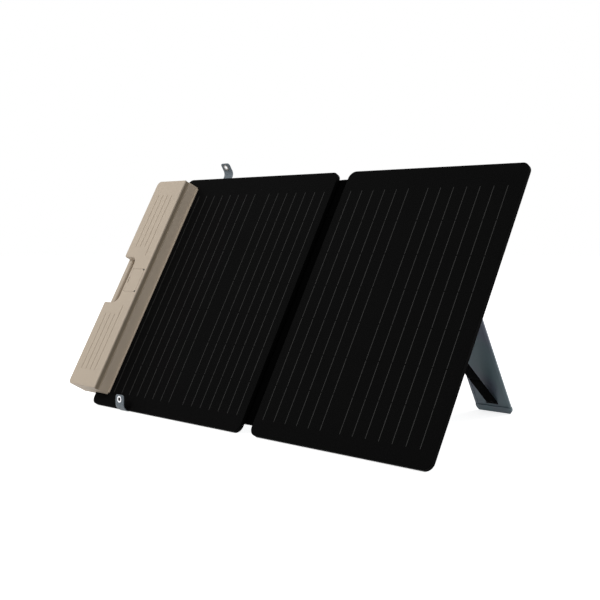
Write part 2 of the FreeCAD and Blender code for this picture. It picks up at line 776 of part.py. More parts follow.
def port_cover():
    """The flush cover with its hinge barrel and a thumb pull."""
    axis_x, axis_n = flap_axis()
    low, high = flap_span()
    under = SHELL_RISE - FLAP_T
    lid = plate(flap_edge(), axis_x - FLAP_BARREL_R - FLAP_GAP, low, high, under, SHELL_RISE, FLAP_R)
    inner = (low + EAR_T + FLAP_GAP, high - EAR_T - FLAP_GAP)
    neck = box(axis_x - 3 * FLAP_R, axis_x, inner[0], inner[1], under, SHELL_RISE)
    barrel = rod_s(axis_x, inner[0], inner[1], axis_n, FLAP_BARREL_R)
    solid = joined([lid, neck, barrel])
    pull = rod_n(flap_edge(), SHELL_MIDDLE, SHELL_RISE - PULL_DEPTH, SHELL_RISE + 1, PULL_R)
    pin = rod_s(axis_x, low, high, axis_n, FLAP_PIN_R + PIN_CLEARANCE)
    return solid.cut([pull, pin])


def cover_pin():
    axis_x, axis_n = flap_axis()
    low, high = flap_span()
    gap = PIN_CLEARANCE
    return rod_s(axis_x, low + EAR_T / 2 + gap, high - EAR_T / 2 - gap, axis_n, FLAP_PIN_R)


def circuit_top():
    return CIRCUIT_RISE + CIRCUIT_T


def circuit_x():
    left = NOTCH_X + SHELL_WALL + 1.0
    return left, left + CIRCUIT_WIDTH


def circuit_board():
    x0, x1 = circuit_x()
    return box(x0, x1, SHELL_MIDDLE - CIRCUIT_LENGTH / 2 + RIB_T,
               SHELL_MIDDLE + CIRCUIT_LENGTH / 2 - RIB_T, CIRCUIT_RISE, circuit_top())


def circuit_parts():
    """Coil, capacitors and heat sink of the charge regulator, on the board."""
    x0, x1 = circuit_x()
    top = circuit_top()
    margin = CIRCUIT_PART_MARGIN
    end = SHELL_MIDDLE + CIRCUIT_LENGTH / 2 - RIB_T - margin
    start = SHELL_MIDDLE - CIRCUIT_LENGTH / 2 + RIB_T + margin
    coil = box(x0 + margin, x0 + margin + COIL_SIDE, end - COIL_SIDE, end, top, top + COIL_T)
    caps = [rod_n(x1 - margin - CAPACITOR_R, end - CAPACITOR_R - CAPACITOR_PITCH * i,
                  top, top + CAPACITOR_TALL, CAPACITOR_R) for i in range(CAPACITOR_COUNT)]
    sink = [box(x0 + margin, x1 - margin, start, start + SINK_LENGTH, top, top + SINK_BASE_T)]
    for x in spread(x0 + margin, x1 - margin - SINK_FIN_T, SINK_FIN_COUNT):
        sink.append(box(x, x + SINK_FIN_T, start, start + SINK_LENGTH, top, top + SINK_TALL))
    return group([coil] + caps + [joined(sink)])


def dc_socket():
    """Two-pole power socket: a block with two square wells, open upwards."""
    top = bay_floor() + DC_PROUD
    block = socket_block("dc", 0.0, circuit_top(), top)
    s, width, length = socket_places()["dc"]
    middle = socket_middle_x()
    side = length - 2 * DC_WALL
    wells = []
    for x in (middle - DC_WALL / 2 - side, middle + DC_WALL / 2):
        wells.append(box(x, x + side, s - side / 2, s + side / 2, top - USB_CAVITY_DEPTH, top + 1))
    blades = [box(x.BoundBox.XMin, x.BoundBox.XMax, s - side / 2, s - side / 2 + DC_CONTACT_T,
                  top - USB_CAVITY_DEPTH, top - DC_WALL) for x in wells]
    return joined([block.cut(wells)] + blades)


def usb_socket(name, wall, tongue_t):
    """A board-mounted socket: a metal sleeve round a tongue."""
    top = bay_floor() + USB_PROUD
    sleeve = socket_block(name, 0.0, circuit_top(), top)
    cavity = socket_block(name, -wall, top - USB_CAVITY_DEPTH, top + 1)
    s, width, length = socket_places()[name]
    x = socket_middle_x()
    tongue = box(x - width / 2 + TONGUE_INSET, x + width / 2 - TONGUE_INSET,
                 s - tongue_t / 2, s + tongue_t / 2, top - USB_CAVITY_DEPTH, top - 1.0)
    return joined([sleeve.cut(cavity), tongue])


# ------------------------------------------------------------ kickstand pieces
def deployed(shape):
    """Swing a piece drawn folded against the leaf out to its standing place."""
    shape.rotate(V(0, STAND_AXIS_S, STAND_AXIS_N), V(-1, 0, 0), -STAND_OPEN)
    return shape


def swung(s, n):
    """The same swing for one point of the s-n plane."""
    turn = math.radians(STAND_OPEN)
    ds, dn = s - STAND_AXIS_S, n - STAND_AXIS_N
    return (STAND_AXIS_S + ds * math.cos(turn) - dn * math.sin(turn),
            STAND_AXIS_N + ds * math.sin(turn) + dn * math.cos(turn))


def knuckles(x, first):
    """Every second knuckle of a hinge centred on x, starting with number first."""
    step = HINGE_WIDTH / KNUCKLE_COUNT
    left = x - HINGE_WIDTH / 2
    return [(left + step * i + KNUCKLE_GAP / 2, left + step * (i + 1) - KNUCKLE_GAP / 2)
            for i in range(first, KNUCKLE_COUNT, 2)]


def pin_room(x):
    half = HINGE_WIDTH / 2 + 1
    return rod_x(x - half, x + half, STAND_AXIS_S, STAND_AXIS_N, HINGE_PIN_R + PIN_CLEARANCE)


def rivet_xs(x):
    return (x - HINGE_WIDTH / 2 + RIVET_INSET, x + HINGE_WIDTH / 2 - RIVET_INSET)


def rivet_s():
    return STAND_AXIS_S - STAND_HEAD_GAP - HINGE_ARM_LENGTH / 2


def stand_hinge_plate(x):
    """The leaf's half of the hinge: a plate on the back with its knuckles."""
    top = STAND_AXIS_S + KNUCKLE_R + HINGE_PLATE_LENGTH
    parts = [box(x - HINGE_WIDTH / 2, x + HINGE_WIDTH / 2, STAND_AXIS_S + KNUCKLE_R, top,
                 BACK - HINGE_PLATE_T, BACK)]
    for x0, x1 in knuckles(x, 0):
        parts.append(rod_x(x0, x1, STAND_AXIS_S, STAND_AXIS_N, KNUCKLE_R))
        parts.append(box(x0, x1, STAND_AXIS_S, STAND_AXIS_S + 2 * KNUCKLE_R,
                         STAND_AXIS_N, BACK))
    return joined(parts).cut(pin_room(x))


def hinge_pin(x):
    half = HINGE_WIDTH / 2
    return rod_x(x - half, x + half, STAND_AXIS_S, STAND_AXIS_N, HINGE_PIN_R)


def arm_face():
    """Outer face of the folded stand board, where the hinge arm lies."""
    return STAND_AXIS_N - STAND_BOARD_T / 2


def stand_hinge_arm(x):
    low = STAND_AXIS_S - STAND_HEAD_GAP - HINGE_ARM_LENGTH
    parts = [box(x - HINGE_WIDTH / 2, x + HINGE_WIDTH / 2, low, STAND_AXIS_S - STAND_HEAD_GAP,
                 arm_face() - HINGE_PLATE_T, arm_face())]
    for x0, x1 in knuckles(x, 1):
        parts.append(rod_x(x0, x1, STAND_AXIS_S, STAND_AXIS_N, KNUCKLE_R))
        parts.append(box(x0, x1, STAND_AXIS_S - STAND_HEAD_GAP - 1, STAND_AXIS_S,
                         arm_face() - HINGE_PLATE_T, arm_face()))
    solid = joined(parts).cut(pin_room(x))
    holes = [rod_n(rx, rivet_s(), arm_face() - 2 * HINGE_PLATE_T, arm_face() + 1,
                   RIVET_R + SHEET_CLEARANCE) for rx in rivet_xs(x)]
    return deployed(solid.cut(holes))


def stand_plan(x, inset, n0, n1, longer=0.0):
    """The outline of a stand, with small corners at its head and round ones below."""
    head = STAND_AXIS_S - STAND_HEAD_GAP
    foot = STAND_AXIS_S - STAND_LENGTH - longer
    half = STAND_WIDTH / 2 - inset
    corners = [(x - half, foot + inset), (x + half, foot + inset),
               (x + half, head - inset), (x - half, head - inset)]
    low_r = max(STAND_FOOT_R - inset, SMALLEST_R)
    high_r = max(STAND_TOP_R - inset, SMALLEST_R)
    return prism(corners, [low_r, low_r, high_r, high_r], n0, n1)


def stand_board(x):
    half = STAND_BOARD_T / 2
    solid = stand_plan(x, STAND_RIM_WIDTH + SHEET_CLEARANCE, STAND_AXIS_N - half,
                       STAND_AXIS_N + half)
    tongue = box(x - HINGE_WIDTH / 2, x + HINGE_WIDTH / 2, STAND_AXIS_S - STAND_HEAD_GAP
                 - HINGE_ARM_LENGTH, STAND_AXIS_S - STAND_HEAD_GAP,
                 STAND_AXIS_N - half, STAND_AXIS_N + half)
    holes = [rod_n(rx, rivet_s(), STAND_AXIS_N - STAND_T, STAND_AXIS_N + STAND_T,
                   RIVET_R + SHEET_CLEARANCE) for rx in rivet_xs(x)]
    return deployed(joined([solid, tongue]).cut(holes))


def stand_rim(x):
    """The lighter moulded border of a stand, stopping at the rubber foot."""
    half = STAND_T / 2
    low, high = STAND_AXIS_N - half, STAND_AXIS_N + half
    ring = stand_plan(x, 0.0, low, high)
    ring = ring.makeFillet(RIM_EDGE_R / 2, edges_at(ring, low) + edges_at(ring, high))
    ring = ring.cut(stand_plan(x, STAND_RIM_WIDTH, low - 1, high + 1))
    foot = STAND_AXIS_S - STAND_LENGTH
    gap = SHEET_CLEARANCE
    head = STAND_AXIS_S - STAND_HEAD_GAP
    cuts = [box(x - STAND_WIDTH, x + STAND_WIDTH, foot - 1, foot + FOOT_LENGTH + gap,
                low - 1, high + 1),
            box(x - HINGE_WIDTH / 2 - gap, x + HINGE_WIDTH / 2 + gap,
                head - STAND_RIM_WIDTH - 1, head + 1, low - 1, high + 1)]
    sides = ring.cut(cuts).Solids
    return deployed(group(sides))


def below_floor():
    """Everything under the floor, in the flat frame, to trim the feet level."""
    deep = 4 * STAND_T
    slab = Part.makeBox(4 * LEAF_LENGTH, 4 * LEAF_LENGTH, deep,
                        V(-3 * LEAF_LENGTH, -LEAF_LENGTH, FLOOR_RISE - deep))
    slab.rotate(V(0, 0, 0), V(1, 0, 0), -TILT)
    return slab


def stand_foot(x):
    """A rubber shoe over the end of a stand, its sole level with the floor."""
    foot = STAND_AXIS_S - STAND_LENGTH
    half = STAND_T / 2 + FOOT_WALL
    low, high = STAND_AXIS_N - half, STAND_AXIS_N + half
    longer = half / math.tan(math.radians(STAND_STEEP))
    shoe = stand_plan(x, 0.0, low, high, longer)
    keep = box(x - STAND_WIDTH, x + STAND_WIDTH, foot - STAND_T, foot + FOOT_LENGTH, low, high)
    pocket = stand_plan(x, STAND_RIM_WIDTH, STAND_AXIS_N - STAND_BOARD_T / 2 - SHEET_CLEARANCE,
                        STAND_AXIS_N + STAND_BOARD_T / 2 + SHEET_CLEARANCE)
    return deployed(shoe.common(keep).cut(pocket)).cut(below_floor())


def stand_rivets(x):
    low = arm_face() - HINGE_PLATE_T
    high = STAND_AXIS_N + STAND_BOARD_T / 2
    rivets = []
    for rx in rivet_xs(x):
        rivets.append(joined([rod_n(rx, rivet_s(), low, high, RIVET_R),
                              rod_n(rx, rivet_s(), low - RIVET_HEAD_T, low, RIVET_HEAD_R),
                              rod_n(rx, rivet_s(), high, high + RIVET_HEAD_T, RIVET_HEAD_R)]))
    return deployed(group(rivets))


def crossing(point, along, at, normal):
    """Where a line through point meets the line through at square to normal."""
    travel = ((at[0] - point[0]) * normal[0] + (at[1] - point[1]) * normal[1]) \
        / (along[0] * normal[0] + along[1] * normal[1])
    return point[0] + along[0] * travel, point[1] + along[1] * travel


def strap_patch(x):
    half = STRAP_WIDTH / 2
    return box(x - half, x + half, STRAP_ON_LEAF - PATCH_LENGTH / 2,
               STRAP_ON_LEAF + PATCH_LENGTH / 2, BACK - PATCH_T, BACK)


def strap(x):
    """Webbing pulled tight from the leaf's back to the stand, near its foot."""
    leaf_end = (STRAP_ON_LEAF, BACK - PATCH_T - STRAP_GAP)
    face = STAND_AXIS_N + STAND_BOARD_T / 2 + STRAP_GAP
    stand_end = swung(STAND_AXIS_S - STRAP_ON_STAND, face)
    axis = swung(STAND_AXIS_S, face)
    length = math.dist(leaf_end, stand_end)
    along = ((stand_end[0] - leaf_end[0]) / length, (stand_end[1] - leaf_end[1]) / length)
    side = (-along[1] * STRAP_T / 2, along[0] * STRAP_T / 2)
    down = math.dist(axis, stand_end)
    square = (-(stand_end[1] - axis[1]) / down, (stand_end[0] - axis[0]) / down)
    points = []
    for sign in (1, -1):
        start = (leaf_end[0] + sign * side[0], leaf_end[1] + sign * side[1])
        ends = [crossing(start, along, leaf_end, (0, 1)), crossing(start, along, stand_end, square)]
        points += ends[::sign]
    return profile(points, x - STRAP_WIDTH / 2, x + STRAP_WIDTH / 2)


def stand(name, x):
    return {
        name + "_hinge_plate": stand_hinge_plate(x),
        name + "_hinge_pin": hinge_pin(x),
        name + "_hinge_arm": stand_hinge_arm(x),
        name + "_stand_board": stand_board(x),
        name + "_stand_rim": stand_rim(x),
        name + "_stand_foot": stand_foot(x),
        name + "_stand_rivets": stand_rivets(x),
        name + "_strap": strap(x),
        name + "_strap_patch": strap_patch(x),
    }


# ------------------------------------------------------------------ tab pieces
def tab_route(start, heading, turning, run, bend_r, turn, tail):
    """A tab's middle line: straight, one bend, straight. Returns its key points."""
    def ahead(point, angle, length):
        a = math.radians(angle)
        return point[0] + length * math.cos(a), point[1] + length * math.sin(a)

    bend_start = ahead(start, heading, run)
    centre = ahead(bend_start, heading + 90 * turning, bend_r)
    back = heading - 90 * turning
    bend_middle = ahead(centre, back + turning * turn / 2, bend_r)
    bend_end = ahead(centre, back + turning * turn, bend_r)
    final = heading + turning * turn
    return bend_start, centre, bend_middle, bend_end, final, ahead(bend_end, final, tail)


def eyelet_place(x, start, heading, turning, run, bend_r, turn, tail):
    """The middle of a tab's eyelet, and the way its hole points."""
    final, tip = tab_route(start, heading, turning, run, bend_r, turn, tail)[-2:]
    a = math.radians(final)
    eye = V(x, *tip) - V(0, math.cos(a), math.sin(a)) * EYELET_FROM_TIP
    return eye, V(0, -math.sin(a), math.cos(a))


def tab_and_eyelet(x, start, heading, turning, run, bend_r, turn, tail):
    """One webbing tab and its eyelet. Angles run from +s towards +n."""
    bend_start, centre, middle, bend_end, final, tip = tab_route(
        start, heading, turning, run, bend_r, turn, tail)
    x0 = x - TAB_WIDTH / 2

    def offset_arc(amount):
        scale = (bend_r + amount) / bend_r
        return [V(x0, centre[0] + (p[0] - centre[0]) * scale,
                  centre[1] + (p[1] - centre[1]) * scale) for p in (bend_start, middle, bend_end)]

    def beside(point, angle, amount):
        a = math.radians(angle - 90 * turning)
        return V(x0, point[0] + amount * math.cos(a), point[1] + amount * math.sin(a))

    half = TAB_T / 2
    outer, inner = offset_arc(half), offset_arc(-half)
    first = (beside(start, heading, half), beside(start, heading, -half))
    root = beside(start, heading - 90 * turning, half)
    last = (beside(tip, final, half), beside(tip, final, -half))
    edges = [Part.LineSegment(first[0], outer[0]), Part.Arc(*outer),
             Part.LineSegment(outer[2], last[0]), Part.LineSegment(last[0], last[1]),
             Part.LineSegment(last[1], inner[2]), Part.Arc(*inner[::-1]),
             Part.LineSegment(inner[0], first[1]), Part.Arc(first[1], root, first[0])]
    face = Part.Face(Part.Wire([e.toShape() for e in edges]))
    tab = face.extrude(V(TAB_WIDTH, 0, 0))

    a = math.radians(final)
    along = V(0, math.cos(a), math.sin(a))
    tip_edges = [e for e in tab.Edges if e.Length < 2 * TAB_T
                 and all(abs((v.Point - V(v.X, *tip)).dot(along)) < half for v in e.Vertexes)
                 and all(abs(v.Point.distanceToPoint(V(v.X, *tip)) - half) < half / 2
                         for v in e.Vertexes)]
    tab = tab.makeFillet(TAB_TIP_R, tip_edges)
    eye, square = eyelet_place(x, start, heading, turning, run, bend_r, turn, tail)

    def disc(radius, low, high):
        return Part.makeCylinder(radius, high - low, eye + square * low, square)

    barrel_r = EYELET_R + EYELET_WALL
    tab = tab.cut(disc(barrel_r + EYELET_CLEARANCE, -TAB_T, TAB_T))
    flange = half + EYELET_FLANGE_T
    eyelet = joined([disc(barrel_r, -half, half), disc(EYELET_FLANGE_R, -flange, -half),
                     disc(EYELET_FLANGE_R, half, flange)])
    return tab, eyelet.cut(disc(EYELET_R, -2 * flange, 2 * flange))


TOP_TAB = (-TOP_TAB_FROM_FREE_EDGE, (LEAF_LENGTH + TAB_GAP + TAB_T / 2, -TAB_DEPTH_IN_EDGE),
           0.0, 1, TOP_TAB_RUN, TOP_TAB_BEND_R, TOP_TAB_TURN, TOP_TAB_TAIL)
LOW_TAB = (-LOW_TAB_FROM_FREE_EDGE, (-TAB_GAP - TAB_T / 2, -TAB_DEPTH_IN_EDGE),
           90.0, -1, LOW_TAB_RUN, LOW_TAB_BEND_R, LOW_TAB_TURN, LOW_TAB_TAIL)


# -------------------------------------------------------------- whole assembly
def shell_lead_x():
    """Where the left leaf's lead turns up into the shell."""
    return LEFT_X[0] + LIP_WIDTH + LEAD_WIDTH


def left_lead():
    """The lead from the fold to the shell, turning up through the left leaf."""
    x = shell_lead_x()
    run = flat_lead(x, FOLD_X - FOLD_SPLIT / 2)
    half = LEAD_WIDTH / 2
    rise = box(x, x + LEAD_T, lead_middle() - half, lead_middle() + half,
               BACK + BACK_FABRIC_T, CIRCUIT_RISE)
    return joined([run, rise])


def lead_well():
    x = shell_lead_x()
    half = LEAD_WIDTH / 2 + LEAD_CLEARANCE
    return box(x - LEAD_CLEARANCE, x + LEAD_T + LEAD_CLEARANCE, lead_middle() - half,
               lead_middle() + half, BACK + BACK_FABRIC_T, 1.0)


def clamped(pieces):
    """Open the left leaf's layers for the clamp screws and the rising lead."""
    room = [screw_room(x, s, BACK) for x, s in clamp_screw_places()]
    for layer in ("left_back_fabric", "left_core_board", "left_cell_laminate", "left_cover_film"):
        pieces[layer] = pieces[layer].cut(room + [lead_well()])
    return pieces


def build():
    right_lead_end = junction_corner(RIGHT_X)[0] + JUNCTION_WALL + LEAD_WIDTH
    right_margins = (CELL_FOLD_MARGIN, CELL_FREE_MARGIN)
    left_margins = (SHELL_TUCK + CELL_SHELL_MARGIN, CELL_FOLD_MARGIN)
    pieces = leaf("left", LEFT_X, left_margins, LEFT_RIBBONS, shell_lead_x() - LEAD_CLEARANCE)
    pieces = clamped(pieces)
    pieces.update(leaf("right", RIGHT_X, right_margins, RIGHT_RIBBONS, right_lead_end))
    pieces["left_hinge_fabric"] = leaf_hinge_half(-1)
    pieces["right_hinge_fabric"] = leaf_hinge_half(1)
    pieces["left_lead"] = left_lead()
    pieces["right_lead"] = flat_lead(FOLD_X + FOLD_SPLIT / 2, right_lead_end)
    pieces["shell_front"] = shell_front()
    pieces["shell_back"] = shell_back()
    pieces["shell_gasket"] = gasket_ring(-GASKET_DEPTH, 0.0)
    pieces["grip_bar"] = grip_bar()
    pieces["shell_screws"] = group([screw(x, s, BACK) for x, s in tray_screw_places()])
    pieces["clamp_screws"] = group([screw(x, s, BACK) for x, s in clamp_screw_places()])
    pieces["port_bay"] = port_bay()
    pieces["port_cover"] = port_cover()
    pieces["cover_pin"] = cover_pin()
    pieces["circuit_board"] = circuit_board()
    pieces["circuit_parts"] = circuit_parts()
    pieces["dc_socket"] = dc_socket()
    pieces["usb_a_socket"] = usb_socket("usb_a", USB_A_WALL, USB_A_TONGUE_T)
    pieces["usb_c_socket"] = usb_socket("usb_c", USB_C_WALL, USB_C_TONGUE_T)
    pieces.update(stand("right", RIGHT_STAND_X))
    pieces.update(stand("left", LEFT_STAND_X))
    pieces["top_tab"], pieces["top_eyelet"] = tab_and_eyelet(*TOP_TAB)
    pieces["low_tab"], pieces["low_eyelet"] = tab_and_eyelet(*LOW_TAB)
    return pieces


def leaned(shape):
    """Lean a flat-built shape back to the slope at which the kit stands."""
    tilted = shape.copy()
    tilted.rotate(V(0, 0, 0), V(1, 0, 0), TILT)
    return tilted


def origin_shift(shapes):
    """From the leaned kit to the middle of its footprint, on the floor."""
    whole = Part.Compound(shapes).BoundBox
    return V(-whole.Center.x, -whole.Center.y, -FLOOR_RISE)


def key_places():
    """Joint axes and mount centres in the flat frame, each a point and a direction."""
    across, up, out = V(1, 0, 0), V(0, 1, 0), V(0, 0, 1)
    cover_x, cover_n = flap_axis()
    sole = swung(STAND_AXIS_S - STAND_LENGTH, STAND_AXIS_N)
    down = V(0, -SLOPE_S, -SLOPE_C)
    dc_s = socket_places()["dc"][0]
    return {
        "panel_fold": (V(FOLD_X, LEAF_LENGTH / 2, FOLD_AXIS_RISE), up * -1),
        "right_stand_fold": (V(RIGHT_STAND_X, STAND_AXIS_S, STAND_AXIS_N), across * -1),
        "left_stand_fold": (V(LEFT_STAND_X, STAND_AXIS_S, STAND_AXIS_N), across * -1),
        "port_cover_hinge": (V(cover_x, SHELL_MIDDLE, cover_n), up),
        "top_tab_flex": (V(TOP_TAB[0], *TOP_TAB[1]), across * -1),
        "low_tab_flex": (V(LOW_TAB[0], *LOW_TAB[1]), across),
        "top_eyelet": eyelet_place(*TOP_TAB),
        "low_eyelet": eyelet_place(*LOW_TAB),
        "right_foot": (V(RIGHT_STAND_X, *sole), down),
        "left_foot": (V(LEFT_STAND_X, *sole), down),
        "dc_socket": (V(socket_middle_x(), dc_s, bay_floor() + DC_PROUD), out),
    }


def main():
    os.makedirs("parts", exist_ok=True)
    standing = {name: leaned(shape) for name, shape in build().items()}
    shift = origin_shift(list(standing.values()))
    for name, shape in standing.items():
        shape.translate(shift)
        shape.exportStep("parts/" + name + ".step")
    lean = FreeCAD.Rotation(V(1, 0, 0), TILT)
    places = {}
    for name, (point, direction) in key_places().items():
        places[name] = (lean.multVec(point) + shift, lean.multVec(direction))
        print(name, "at", places[name][0], "along", places[name][1])
    return shift, places


SHIFT, PLACES = main()
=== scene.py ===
import json
import math

import bmesh
import bpy
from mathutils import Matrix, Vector


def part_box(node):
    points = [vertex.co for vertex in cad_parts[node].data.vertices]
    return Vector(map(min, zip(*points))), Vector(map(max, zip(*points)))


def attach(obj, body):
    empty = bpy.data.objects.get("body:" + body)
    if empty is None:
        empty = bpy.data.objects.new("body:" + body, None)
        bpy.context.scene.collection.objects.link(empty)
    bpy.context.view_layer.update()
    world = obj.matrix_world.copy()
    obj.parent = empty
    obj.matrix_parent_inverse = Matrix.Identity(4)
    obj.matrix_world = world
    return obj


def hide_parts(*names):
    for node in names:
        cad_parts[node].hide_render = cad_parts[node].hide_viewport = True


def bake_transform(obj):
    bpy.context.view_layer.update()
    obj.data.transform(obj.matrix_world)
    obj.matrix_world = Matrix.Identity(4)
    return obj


# A folding solar suitcase, standing open on its kickstands.
# Places are given flat, in millimetres, as on the opened kit lying face up:
#   x across both leaves (0 at the right leaf's free edge), s up the slope
#   (0 at the leaves' lower edge), n out of the sunny face (0 at that face).

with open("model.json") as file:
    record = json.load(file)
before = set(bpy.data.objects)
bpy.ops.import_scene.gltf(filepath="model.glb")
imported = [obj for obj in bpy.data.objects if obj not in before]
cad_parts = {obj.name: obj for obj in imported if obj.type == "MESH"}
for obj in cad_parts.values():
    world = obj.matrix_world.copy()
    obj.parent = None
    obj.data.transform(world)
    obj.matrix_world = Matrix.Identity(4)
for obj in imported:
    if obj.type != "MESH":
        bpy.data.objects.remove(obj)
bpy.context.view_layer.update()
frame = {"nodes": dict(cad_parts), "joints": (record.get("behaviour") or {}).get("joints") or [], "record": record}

MM = 0.001
JOINTS = {j["name"]: j for j in frame["joints"]}
ACROSS = Vector((1, 0, 0))
UP = -Vector(JOINTS["panel_fold"]["axis"]).normalized()
OUT = ACROSS.cross(UP)

# ------------------------------------------------- sizes shared with the part
LEAF_LENGTH = 560.0
RIGHT_X = (-410.5, 0.0)
LEFT_X = (-910.5, -439.9)
BACK = -9.0
FOLD_X = -425.2
FOLD_AXIS_N = 0.75
RIM_WALL = 1.6
LEAF_CORNER_R = 16.0
SHELL_TUCK = 43.6
SHELL_BAND = (21.5, 30.4)

FOLD_POINT = Vector(JOINTS["panel_fold"]["pos_m"])
FLAT_ORIGIN = FOLD_POINT - (ACROSS * FOLD_X + UP * LEAF_LENGTH / 2 + OUT * FOLD_AXIS_N) * MM


def place(x, s, n):
    """A flat place in the row frame, in metres."""
    return FLAT_ORIGIN + (ACROSS * x + UP * s + OUT * n) * MM


# ---------------------------------------------------------------- materials
def material(name, colour, roughness, metallic=0.0, specular=0.5):
    made = bpy.data.materials.new(name)
    made.use_nodes = True
    shader = made.node_tree.nodes["Principled BSDF"]
    shader.inputs["Base Color"].default_value = (*colour, 1)
    shader.inputs["Roughness"].default_value = roughness
    shader.inputs["Metallic"].default_value = metallic
    shader.inputs["Specular IOR Level"].default_value = specular
    return made


class Graph:
    """Short calls for adding nodes to one material."""

    def __init__(self, made):
        self.tree = made.node_tree
        self.shader = self.tree.nodes["Principled BSDF"]
        self.coords = self.add("ShaderNodeTexCoord").outputs["Object"]

    def add(self, kind, **settings):
        node = self.tree.nodes.new(kind)
        for key, value in settings.items():
            setattr(node, key, value)
        return node

    def feed(self, socket, value):
        if isinstance(value, bpy.types.NodeSocket):
            self.tree.links.new(value, socket)
        else:
            socket.default_value = value

    def measured(self, direction):
        """Distance along a direction from the flat frame's origin, in millimetres."""
        node = self.add("ShaderNodeVectorMath", operation="DOT_PRODUCT")
        self.feed(node.inputs[0], self.coords)
        node.inputs[1].default_value = direction / MM
        return self.maths("SUBTRACT", node.outputs["Value"], FLAT_ORIGIN.dot(direction) / MM)

    def mapped(self, rotation=(0, 0, 0), scale=(1, 1, 1)):
        node = self.add("ShaderNodeMapping")
        self.feed(node.inputs["Vector"], self.coords)
        node.inputs["Rotation"].default_value = rotation
        node.inputs["Scale"].default_value = scale
        return node.outputs["Vector"]

    def noise(self, vector, scale, detail=3.0, rough=0.5):
        node = self.add("ShaderNodeTexNoise")
        self.feed(node.inputs["Vector"], vector)
        node.inputs["Scale"].default_value = scale
        node.inputs["Detail"].default_value = detail
        node.inputs["Roughness"].default_value = rough
        return node.outputs["Fac"]

    def waves(self, vector, scale, direction, profile="SIN"):
        node = self.add("ShaderNodeTexWave", wave_type="BANDS", bands_direction=direction,
                        wave_profile=profile)
        self.feed(node.inputs["Vector"], vector)
        node.inputs["Scale"].default_value = scale
        return node.outputs["Fac"]

    def cells(self, vector, scale, feature="F1"):
        node = self.add("ShaderNodeTexVoronoi", feature=feature)
        self.feed(node.inputs["Vector"], vector)
        node.inputs["Scale"].default_value = scale
        return node.outputs["Distance"]

    def maths(self, operation, a, b=0.5):
        node = self.add("ShaderNodeMath", operation=operation)
        self.feed(node.inputs[0], a)
        self.feed(node.inputs[1], b)
        return node.outputs[0]

    def ramp(self, value, low, high, out_low=0.0, out_high=1.0):
        node = self.add("ShaderNodeMapRange")
        self.feed(node.inputs["Value"], value)
        node.inputs["From Min"].default_value = low
        node.inputs["From Max"].default_value = high
        node.inputs["To Min"].default_value = out_low
        node.inputs["To Max"].default_value = out_high
        return node.outputs["Result"]

    def mixed(self, factor, first, second):
        node = self.add("ShaderNodeMix", data_type="RGBA")
        self.feed(node.inputs["Factor"], factor)
        node.inputs["A"].default_value = (*first, 1)
        node.inputs["B"].default_value = (*second, 1)
        return node.outputs["Result"]

    def colour(self, value):
        self.feed(self.shader.inputs["Base Color"], value)

    def roughness(self, value):
        self.feed(self.shader.inputs["Roughness"], value)

    def bump(self, height, depth, strength=1.0):
        node = self.add("ShaderNodeBump")
        node.inputs["Strength"].default_value = strength
        node.inputs["Distance"].default_value = depth
        self.feed(node.inputs["Height"], height)
        self.feed(self.shader.inputs["Normal"], node.outputs["Normal"])


SLOPE = math.atan2(UP.z, UP.y)
LIE_FLAT = (-SLOPE, 0, 0)


def grained(name, colour, other, roughness, grain=900.0, depth=0.00004, shade=None, **more):
    """Moulded plastic: fine pebble grain, a slow drift of tone, and a rubbed sheen."""
    made = material(name, colour, roughness, **more)
    g = Graph(made)
    pebble = g.cells(g.coords, grain)
    drift = g.noise(g.coords, 9.0, 4.0, 0.6)
    speck = g.noise(g.coords, 2600.0, 2.0)
    tone = g.maths("ADD", g.maths("MULTIPLY", drift, 0.7), g.maths("MULTIPLY", speck, 0.3))
    blend = g.mixed(g.ramp(tone, 0.3, 0.7), colour, other)
    # shade, when given, paints shade into the colour (the shell's sunk band).
    g.colour(shade(g, blend) if shade else blend)
    g.roughness(g.ramp(g.noise(g.coords, 30.0, 5.0, 0.65), 0.25, 0.75,
                       roughness - 0.06, roughness + 0.08))
    g.bump(g.maths("ADD", pebble, g.maths("MULTIPLY", speck, 0.4)), depth)
    return made


def woven(name, colour, other, roughness, pitch=1.1, depth=0.00012, lie=LIE_FLAT, sheen=0.0,
          specular=0.5):
    """Plain weave: two crossing threads, lit and shaded thread by thread."""
    made = material(name, colour, roughness, specular=specular)
    g = Graph(made)
    flat = g.mapped(lie, (1, 1, 1))
    per_metre = 1.0 / (pitch * MM) * math.pi / 10
    across = g.waves(flat, per_metre, "X")
    along = g.waves(flat, per_metre, "Y")
    weave = g.maths("MAXIMUM", g.maths("MULTIPLY", across, along),
                    g.maths("MULTIPLY", g.maths("SUBTRACT", 1.0, across),
                            g.maths("SUBTRACT", 1.0, along)))
    slub = g.noise(g.mapped(lie, (1, 0.08, 1)), 700.0, 3.0)
    drift = g.noise(g.coords, 14.0, 4.0, 0.6)
    tone = g.maths("ADD", g.maths("MULTIPLY", weave, 0.5),
                   g.maths("ADD", g.maths("MULTIPLY", slub, 0.25),
                           g.maths("MULTIPLY", drift, 0.25)))
    g.colour(g.mixed(g.ramp(tone, 0.25, 0.7), colour, other))
    g.roughness(g.ramp(drift, 0.3, 0.7, roughness - 0.05, min(1.0, roughness + 0.07)))
    g.bump(g.maths("ADD", weave, g.maths("MULTIPLY", slub, 0.4)), depth)
    g.shader.inputs["Sheen Weight"].default_value = sheen
    g.shader.inputs["Sheen Roughness"].default_value = 0.5
    return made


